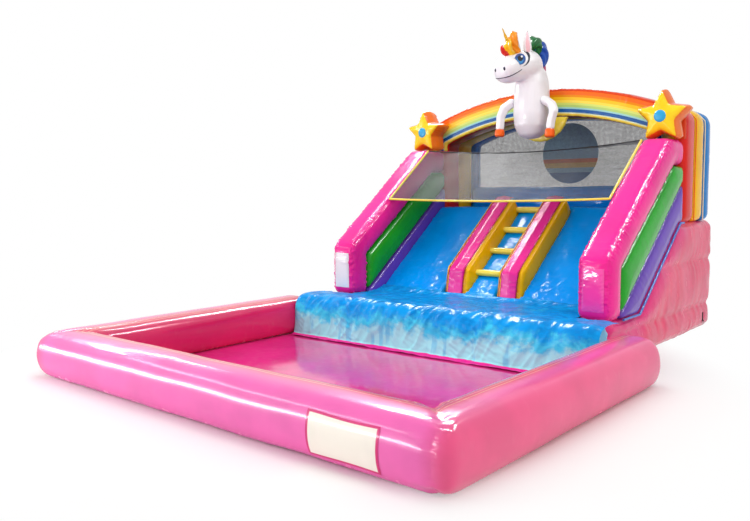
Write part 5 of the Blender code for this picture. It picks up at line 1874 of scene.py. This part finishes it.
def make_rear_disc():
    low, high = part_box("rear_disc")
    middle, radius = (low + high) / 2, (high.x - low.x) / 2
    y = low.y
    flat = BVHTree.FromPolygons([(-2, y, 1), (2, y, 1), (2, y, 3), (-2, y, 3)], [(0, 1, 2, 3)])
    place = Vector((middle.x, y, middle.z))
    mesh = patch("rear_disc_print", flat, place, TO_THE_FRONT, UP, radius, radius, 0.0, 24, 96)
    points = points_of(mesh)
    points[:, 1] -= 0.002 + 0.003 * (1 + ripple(points, 0.3, 95).clip(-1, 1))
    set_points(mesh, points)
    finish = Finish("disc_print", Roughness=0.55)
    finish.feed(Base_Color=disc_colours(finish))
    disc = piece("rear_disc_print", mesh, finish.material, ["rear_disc"])


def make_panels(pool):
    """Bare patches: the notice panel on the pool, one on each front post, and the rear disc."""
    make_notice_panel(pool)
    bare = finish_of("post_panel_pvc", SNOW, roughness=0.25)
    pocket = finish_of("pocket_pvc", POCKET_PINK, roughness=0.08, coat=0.9, crinkle=0.003,
                       crinkle_size=0.06)
    make_post_pocket("left", -POST_X, bare, ["post_panel"])
    make_post_pocket("right", POST_X, pocket, ())
    make_rear_disc()


def make_star_discs():
    """A small domed disc in the middle of each star."""
    sky = finish_of("star_disc_pvc", SKY_BLUE, roughness=0.25)
    for word, side in (("left", -1), ("right", 1)):
        surface = surface_of(bpy.data.objects["star_%s_pad" % word].data)
        middle = Vector((side * POST_X, 2.0, STAR_MIDDLE_Z))
        place, normal = outside(surface, middle, TO_THE_FRONT)
        name = "star_disc_" + word
        mesh = patch(name, surface, place, normal, UP, STAR_DISC_RADIUS, STAR_DISC_RADIUS,
                     STAR_DISC_DOME, 8, 28)
        piece(name, mesh, sky, ())


def steel_finish():
    steel = Finish("steel", Metallic=1.0)
    cloud = steel.noise(steel.place(), 160.0, 3.0)
    colour = steel.mix(cloud, tint(STEEL_DARK), tint(STEEL_LIGHT))
    rough = 0.25 + cloud * 0.2
    return steel.feed(Base_Color=colour, Roughness=rough, Normal=steel.bump(cloud, 0.0003))


def make_anchors(steel, webbing):
    for word in SIDES:
        ring, tab = "anchor_ring_" + word, "anchor_tab_" + word
        mesh = node_skin(ring + "_wire", ring, 0.0012, 4)
        piece(ring + "_wire", mesh, steel, [ring], "ring_" + word)
        mesh = node_skin(tab + "_web", tab, 0.0010, 2)
        piece(tab + "_web", mesh, webbing, [tab])


def make_inlet_sleeve():
    """The blower's sleeve, whose loose end is rippled."""
    pink = finish_of("pink_pvc", HOT_PINK)
    mesh = node_skin("inlet_sleeve_tube", "inlet_sleeve", 0.004, 4)
    points = points_of(mesh)
    around = points * (1, 0.25, 1)
    free = np.clip((points[:, 1] - BASE_REAR_Y) / 0.10, 0, 1)
    radial = points - SLEEVE_MIDDLE
    radial[:, 1] = 0
    radial /= np.linalg.norm(radial, axis=1)[:, None]
    set_points(mesh, points + radial * (0.006 * free * ripple(around, 0.09, 97))[:, None])
    piece("inlet_sleeve_tube", mesh, pink, ["inlet_sleeve"])


def make_zip(steel, webbing):
    mesh = node_skin("zip_tape_web", "zip_tape", 0.0012)
    piece("zip_tape_web", mesh, webbing, ["zip_tape"])
    low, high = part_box("zip_tape")
    y, z = high.y + 0.0008, (low.z + high.z) / 2
    line = line_mesh([along([(low.x + 0.01, y, z), (high.x - 0.01, y, z)])])
    teeth = stitch_tree().grow(line, Pitch=0.004, Length=0.0022, Thread=0.0026, Finish=steel)
    piece("zip_teeth", teeth, steel, ())
    mesh = node_skin("zip_slider_body", "zip_slider", 0.0007, 4)
    piece("zip_slider_body", mesh, steel, ["zip_slider"], "slider")


def make_fittings():
    """Anchor tabs and rings, the inlet sleeve, and the deflation zip."""
    webbing = finish_of("webbing", MESH_BLACK, roughness=0.6, coat=0.0)
    steel = steel_finish()
    make_anchors(steel, webbing)
    make_inlet_sleeve()
    make_zip(steel, webbing)


bpy.context.scene.view_settings.view_transform = "Standard"
make_camera()
make_room()
make_lamps()
make_ground()

pool = make_pool_walls()
make_pool_floor()
make_apron()
make_base()
make_lanes()
make_dividers()
make_walls()
make_arch()
make_rainbow_front()
make_backing_lobe()
make_nets()
make_stars()
make_unicorn()
make_rungs()
make_binding()
make_piping()
make_crest_tape()
make_panels(pool)
make_star_discs()
make_fittings()
